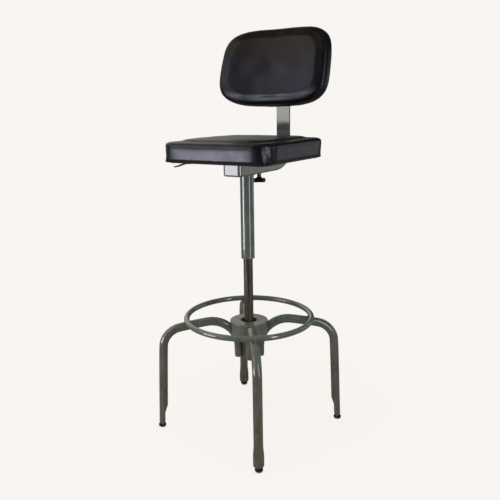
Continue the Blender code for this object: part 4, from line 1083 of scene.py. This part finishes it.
class STOOL_OT_hem(bpy.types.Operator):
    """Vinyl turned under the seat board and stapled, cut away where the channel passes"""

    bl_idname = "stool.hem"
    bl_label = "Hem and staples"

    def execute(self, context):
        low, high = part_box("seat_cushion")
        centre = (low + high) / 2
        half_x = (high.x - low.x) / 2 - HEM_INSET
        half_y = (high.y - low.y) / 2 - HEM_INSET
        width = sizes().hem_width
        top = low.z - 0.0001
        deselect_all()
        bpy.ops.mesh.primitive_plane_add(size=2, location=(0, 0, 0))
        hem = bpy.context.object
        hem.name = "seat_hem"
        hem.scale = (half_x, half_y, 1)
        settle(hem)
        edit_whole(hem)
        bpy.ops.mesh.bevel(affect="VERTICES", offset=HEM_CORNER, segments=10)
        bpy.ops.mesh.select_all(action="SELECT")
        bpy.ops.mesh.inset(thickness=width)
        bpy.ops.mesh.delete(type="FACE")
        bpy.ops.mesh.select_all(action="SELECT")
        bpy.ops.mesh.subdivide(number_cuts=9)
        for x in (-CHANNEL_CLEAR_X, CHANNEL_CLEAR_X):
            bpy.ops.mesh.select_all(action="SELECT")
            bpy.ops.mesh.bisect(plane_co=(x, 0, 0), plane_no=(1, 0, 0))
        leave_edit()
        pick_faces(hem, lambda c: abs(c.x) < CHANNEL_CLEAR_X and c.y > 0)
        bpy.ops.mesh.delete(type="FACE")
        leave_edit()
        corner = Vector((half_x - HEM_CORNER, half_y - HEM_CORNER, 0))
        for vertex in hem.data.vertices:
            p = vertex.co
            out = Vector((abs(p.x), abs(p.y), 0)) - corner
            sag = 0.00025 * (1 + bump_of(p, 0.022, 3.0))
            if out.x > 0 and out.y > 0:
                fold = sin(atan2(out.y, out.x) * 22)
                sag += HEM_PLEAT * max(fold, 0) * min(out.length / 0.012, 1)
                inside = HEM_CORNER - out.length
            else:
                inside = min(half_x - abs(p.x), half_y - abs(p.y))
            # The outer edge comes out of the cushion's roll
            tuck = HEM_TUCK * (1 - smooth_step(inside / HEM_TUCK_REACH))
            sag *= smooth_step(inside / HEM_FLAT_REACH)
            vertex.co = Vector((p.x + centre.x, p.y + centre.y, top - sag + tuck))
        sheet = hem.modifiers.new("sheet", "SOLIDIFY")
        sheet.thickness = HEM_THICKNESS
        sheet.offset = 0.0
        apply_modifiers(hem)
        finish_piece(hem, "seat", "black_vinyl", smooth=60)
        line = STAPLE_LINE * width
        add_staples(centre, half_x - line, half_y - line, top - 0.0013)
        return {"FINISHED"}


def add_staples(centre, half_x, half_y, height):
    """Staples every few centimetres round the hem, as one piece."""
    deselect_all()
    bpy.ops.mesh.primitive_cube_add(size=1, location=(0, 0, 0))
    wire = bpy.context.object
    wire.scale = STAPLE_SIZE
    settle(wire)
    ease_edges(wire, 0.0002, 2)
    pitch = sizes().staple_pitch
    copies = []
    for along, across, turn in ((half_x, half_y, 0), (half_y, half_x, pi / 2)):
        reach = along - STAPLE_FROM_CORNER
        count = int(2 * reach / pitch)
        for i in range(count + 1):
            s = -reach + 2 * reach * i / count
            for side in (-1, 1):
                tilt = turn + 0.22 * bump_of(Vector((s, side * across, turn)), 0.02, 4.0)
                x, y = (s, side * across) if turn == 0 else (side * across, s)
                if y > 0.1 and abs(x) < CHANNEL_CLEAR_X + 0.008:
                    continue
                where = Matrix.Translation((centre.x + x, centre.y + y, height))
                where = where @ Matrix.Rotation(tilt, 4, "Z")
                copies.append(own_copy(wire, "staple_%d" % len(copies), where))
    bpy.data.objects.remove(wire)
    deselect_all()
    for copy in copies:
        copy.select_set(True)
    bpy.context.view_layer.objects.active = copies[0]
    bpy.ops.object.join()
    copies[0].name = "hem_staples"
    finish_piece(copies[0], "seat", "zinc_steel")


SEAT_CORNER = 0.0420
FACET_FROM = radians(36)
FACET_TO = radians(72)


def facet_depth(p, low, high):
    """How far a point on the seat's rounded corner lies outside the flat that the drawn vinyl makes."""
    centre = (low + high) / 2
    x = abs(p.x - centre.x) - ((high.x - low.x) / 2 - SEAT_CORNER)
    y = abs(p.y - centre.y) - ((high.y - low.y) / 2 - SEAT_CORNER)
    angle = atan2(x, y)
    if x <= 0 or y <= 0 or not FACET_FROM < angle < FACET_TO:
        return 0.0
    middle = (FACET_FROM + FACET_TO) / 2
    half = (FACET_TO - FACET_FROM) / 2
    return SEAT_CORNER * (1 - cos(half) / cos(angle - middle))


SEAT_POCKET_INSET = 0.0130
SEAT_PROUD = 0.0018
SEAT_TAPER = 0.0038
SEAT_TUCK = 0.0062
SEAT_TUCK_HEIGHT = 0.0140
# The gathered vinyl pulls the sides in before each corner
PULL_FROM = 0.068
PULL_LENGTH = 0.026
PULL_DEPTH = 0.0010
# The top edge, by the height of its normal
EDGE_DEPTH = 0.0014
EDGE_MIDDLE = 0.65
EDGE_SPREAD = 0.35
FOLD_FROM_CORNER = 0.045
FOLD_LEAN = 0.12
FOLD_WIDTH = 0.0036
CRUMPLE_REACH = 0.06
CRUMPLE_DEPTH = 0.0006


def draw_in_sides(piece, low, high):
    """Draw the seat's sides in towards its board, slowly all the way down and round under it."""
    centre = (low + high) / 2
    half = (high - low) / 2
    for vertex in piece.data.vertices:
        p = vertex.co
        out = max(abs(p.x - centre.x) - half.x, abs(p.y - centre.y) - half.y) / SEAT_POCKET_INSET + 1
        rise = p.z - low.z
        pull = SEAT_TAPER * (1 - smooth_step(rise / (0.9 * (high.z - low.z))))
        pull += SEAT_TUCK * max(1 - rise / SEAT_TUCK_HEIGHT, 0) ** 2
        pull *= min(max(out, 0), 1)
        p.x -= pull * (p.x - centre.x) / half.x
        p.y -= pull * (p.y - centre.y) / half.y


class STOOL_OT_seat_cushion(bpy.types.Operator):
    """Foam seat in black vinyl, folded at its corners and drawn round the board"""

    bl_idname = "stool.seat_cushion"
    bl_label = "Seat cushion"

    def execute(self, context):
        low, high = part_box("seat_cushion")
        piece = node_copy("seat_cushion", "seat_cover")
        remesh(piece, sizes().voxel)
        swell(piece, 0.0015, sizes().seat_swell, lambda p, n: p.z < low.z + 0.012)
        refine(piece)
        proud = Vector((SEAT_PROUD, SEAT_PROUD, 0))
        fit_box(piece, low - proud, high + proud)
        ys = (low.y + FOLD_FROM_CORNER, high.y - FOLD_FROM_CORNER)
        folds = [(x, y) for x in (low.x, high.x) for y in ys]
        pleat = sizes().pleat_depth
        centre = (low + high) / 2
        half = (high - low) / 2

        def depth_at(p, normal):
            depth = 0.0008 * bump_of(p, 0.055, 1.0) + 0.00015 * bump_of(p, 0.016, 5.0)
            upright = 1 - abs(normal.z)
            depth -= upright * facet_depth(p, low, high)
            near = min(abs(p.x - centre.x) - half.x, abs(p.y - centre.y) - half.y) + PULL_FROM
            turn = max(near, 0) / PULL_LENGTH
            depth -= PULL_DEPTH * upright * (turn * turn if turn < 1 else 2 * turn - 1)
            # The vinyl turns over the top edges more tightly than over foam alone
            depth += EDGE_DEPTH * max(1 - abs(normal.z - EDGE_MIDDLE) / EDGE_SPREAD, 0)
            for x, y in folds:
                away = p.y - y - FOLD_LEAN * (p.z - low.z)
                if abs(p.x - x) < 0.014 and abs(away) < 0.012:
                    depth += pleat * upright * fold_profile(away, FOLD_WIDTH)
                # Vinyl gathered round the corner crumples aslant
                near = (Vector((x, y, 0)) - Vector((p.x, p.y, 0))).length
                if near < CRUMPLE_REACH:
                    slant = p + Vector((0, 0, 0.8 * (p.x + p.y)))
                    ridge = 1 - 2 * abs(bump_of(Vector((slant.x, slant.y, 2.2 * slant.z)), 0.022, 9.0))
                    depth += CRUMPLE_DEPTH * upright * ridge * (1 - near / CRUMPLE_REACH)
            return depth

        press_marks(piece, depth_at)
        draw_in_sides(piece, low, high)
        finish_piece(piece, "seat", "black_vinyl", ["seat_cushion"], smooth=180)
        return {"FINISHED"}


class STOOL_OT_back_cushion(bpy.types.Operator):
    """Curved padded panel in black vinyl"""

    bl_idname = "stool.back_cushion"
    bl_label = "Back cushion"

    def execute(self, context):
        low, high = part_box("back_cushion")
        piece = node_copy("back_cushion", "back_cover")
        remesh(piece, sizes().voxel)
        swell(piece, 0.0012, sizes().back_swell, lambda p, n: n.y > 0.35)
        refine(piece, 8)
        fit_box(piece, low, high)
        press_marks(piece, lambda p, n: 0.0007 * bump_of(p, 0.060, 2.0) + 0.0001 * bump_of(p, 0.018, 6.0))
        finish_piece(piece, "backrest", "black_vinyl", ["back_cushion"], smooth=180)
        piece.data.materials[0] = FINISHES["back_vinyl"]
        return {"FINISHED"}


# Outline of the back board in the backrest's own plane, as in the stool's source
BACK_PIVOT = Vector((0, 0.1960, 1.0000))
BACK_HALF_WIDTH = 0.1750
BACK_HALF_HEIGHT = 0.1105
BACK_POWER = 3.8
BACK_TAPER = 0.036
BACK_BOW_RADIUS = 0.7350
BACK_STANDOFF = 0.0208
BACK_RISE = 0.0334
WELT_R = 0.0021
WELT_INSET = 0.0145
WELT_BEHIND = 0.0002


def back_point(angle, inset, behind):
    """Point round the backrest at an angle, inset from its outline and a distance behind its rear face."""
    c = cos(angle)
    s = sin(angle)
    x = (BACK_HALF_WIDTH - inset) * abs(c) ** (2 / BACK_POWER) * (1 if c > 0 else -1)
    z = (BACK_HALF_HEIGHT - inset) * abs(s) ** (2 / BACK_POWER) * (1 if s > 0 else -1)
    x *= 1 - BACK_TAPER * z / BACK_HALF_HEIGHT
    own = Vector((x, behind - BACK_STANDOFF - x * x / (2 * BACK_BOW_RADIUS), BACK_RISE + z))
    return BACK_PIVOT + Matrix.Rotation(-BACK_LEAN, 3, "X") @ own


class STOOL_OT_back_welt(bpy.types.Operator):
    """Welt of vinyl over cord that covers the joint between the back board and the cushion"""

    bl_idname = "stool.back_welt"
    bl_label = "Back welt"

    def execute(self, context):
        welt = add_torus("back_welt", 1.0, WELT_R, 256, 12)
        wrap_torus(welt, lambda angle, off, z: back_point(angle, WELT_INSET - off, z + WELT_BEHIND))
        finish_piece(welt, "backrest", "black_vinyl", smooth=180)
        welt.data.materials[0] = FINISHES["back_vinyl"]
        return {"FINISHED"}


class STOOL_PT_panel(bpy.types.Panel):
    """Lists the stool's pieces, sizes and colours"""

    bl_label = "Drafting Stool"
    bl_idname = "STOOL_PT_panel"
    bl_space_type = "VIEW_3D"
    bl_region_type = "UI"
    bl_category = "Stool"

    def draw(self, context):
        for operator in OPERATORS:
            self.layout.operator(operator.bl_idname)
        for group in (context.scene.stool_colours, context.scene.stool_sizes):
            for key in group.bl_rna.properties.keys():
                if key not in ("rna_type", "name"):
                    self.layout.prop(group, key)


OPERATORS = (
    STOOL_OT_stage,
    STOOL_OT_metalwork,
    STOOL_OT_legs,
    STOOL_OT_foot_ring,
    STOOL_OT_post,
    STOOL_OT_column,
    STOOL_OT_hub,
    STOOL_OT_feet,
    STOOL_OT_fittings,
    STOOL_OT_lever,
    STOOL_OT_strap,
    STOOL_OT_screws,
    STOOL_OT_hem,
    STOOL_OT_seat_cushion,
    STOOL_OT_back_cushion,
    STOOL_OT_back_welt,
)
CLASSES = (StoolColours, StoolSizes, *OPERATORS, STOOL_PT_panel)
FINISHES = {}


def register():
    for cls in CLASSES:
        bpy.utils.register_class(cls)
    bpy.types.Scene.stool_colours = bpy.props.PointerProperty(type=StoolColours)
    bpy.types.Scene.stool_sizes = bpy.props.PointerProperty(type=StoolSizes)


def unregister():
    del bpy.types.Scene.stool_sizes
    del bpy.types.Scene.stool_colours
    for cls in reversed(CLASSES):
        bpy.utils.unregister_class(cls)


def main():
    register()
    FINISHES.update(make_finishes())
    for operator in OPERATORS:
        group, name = operator.bl_idname.split(".")
        getattr(getattr(bpy.ops, group), name)()


if __name__ == "__main__":
    main()
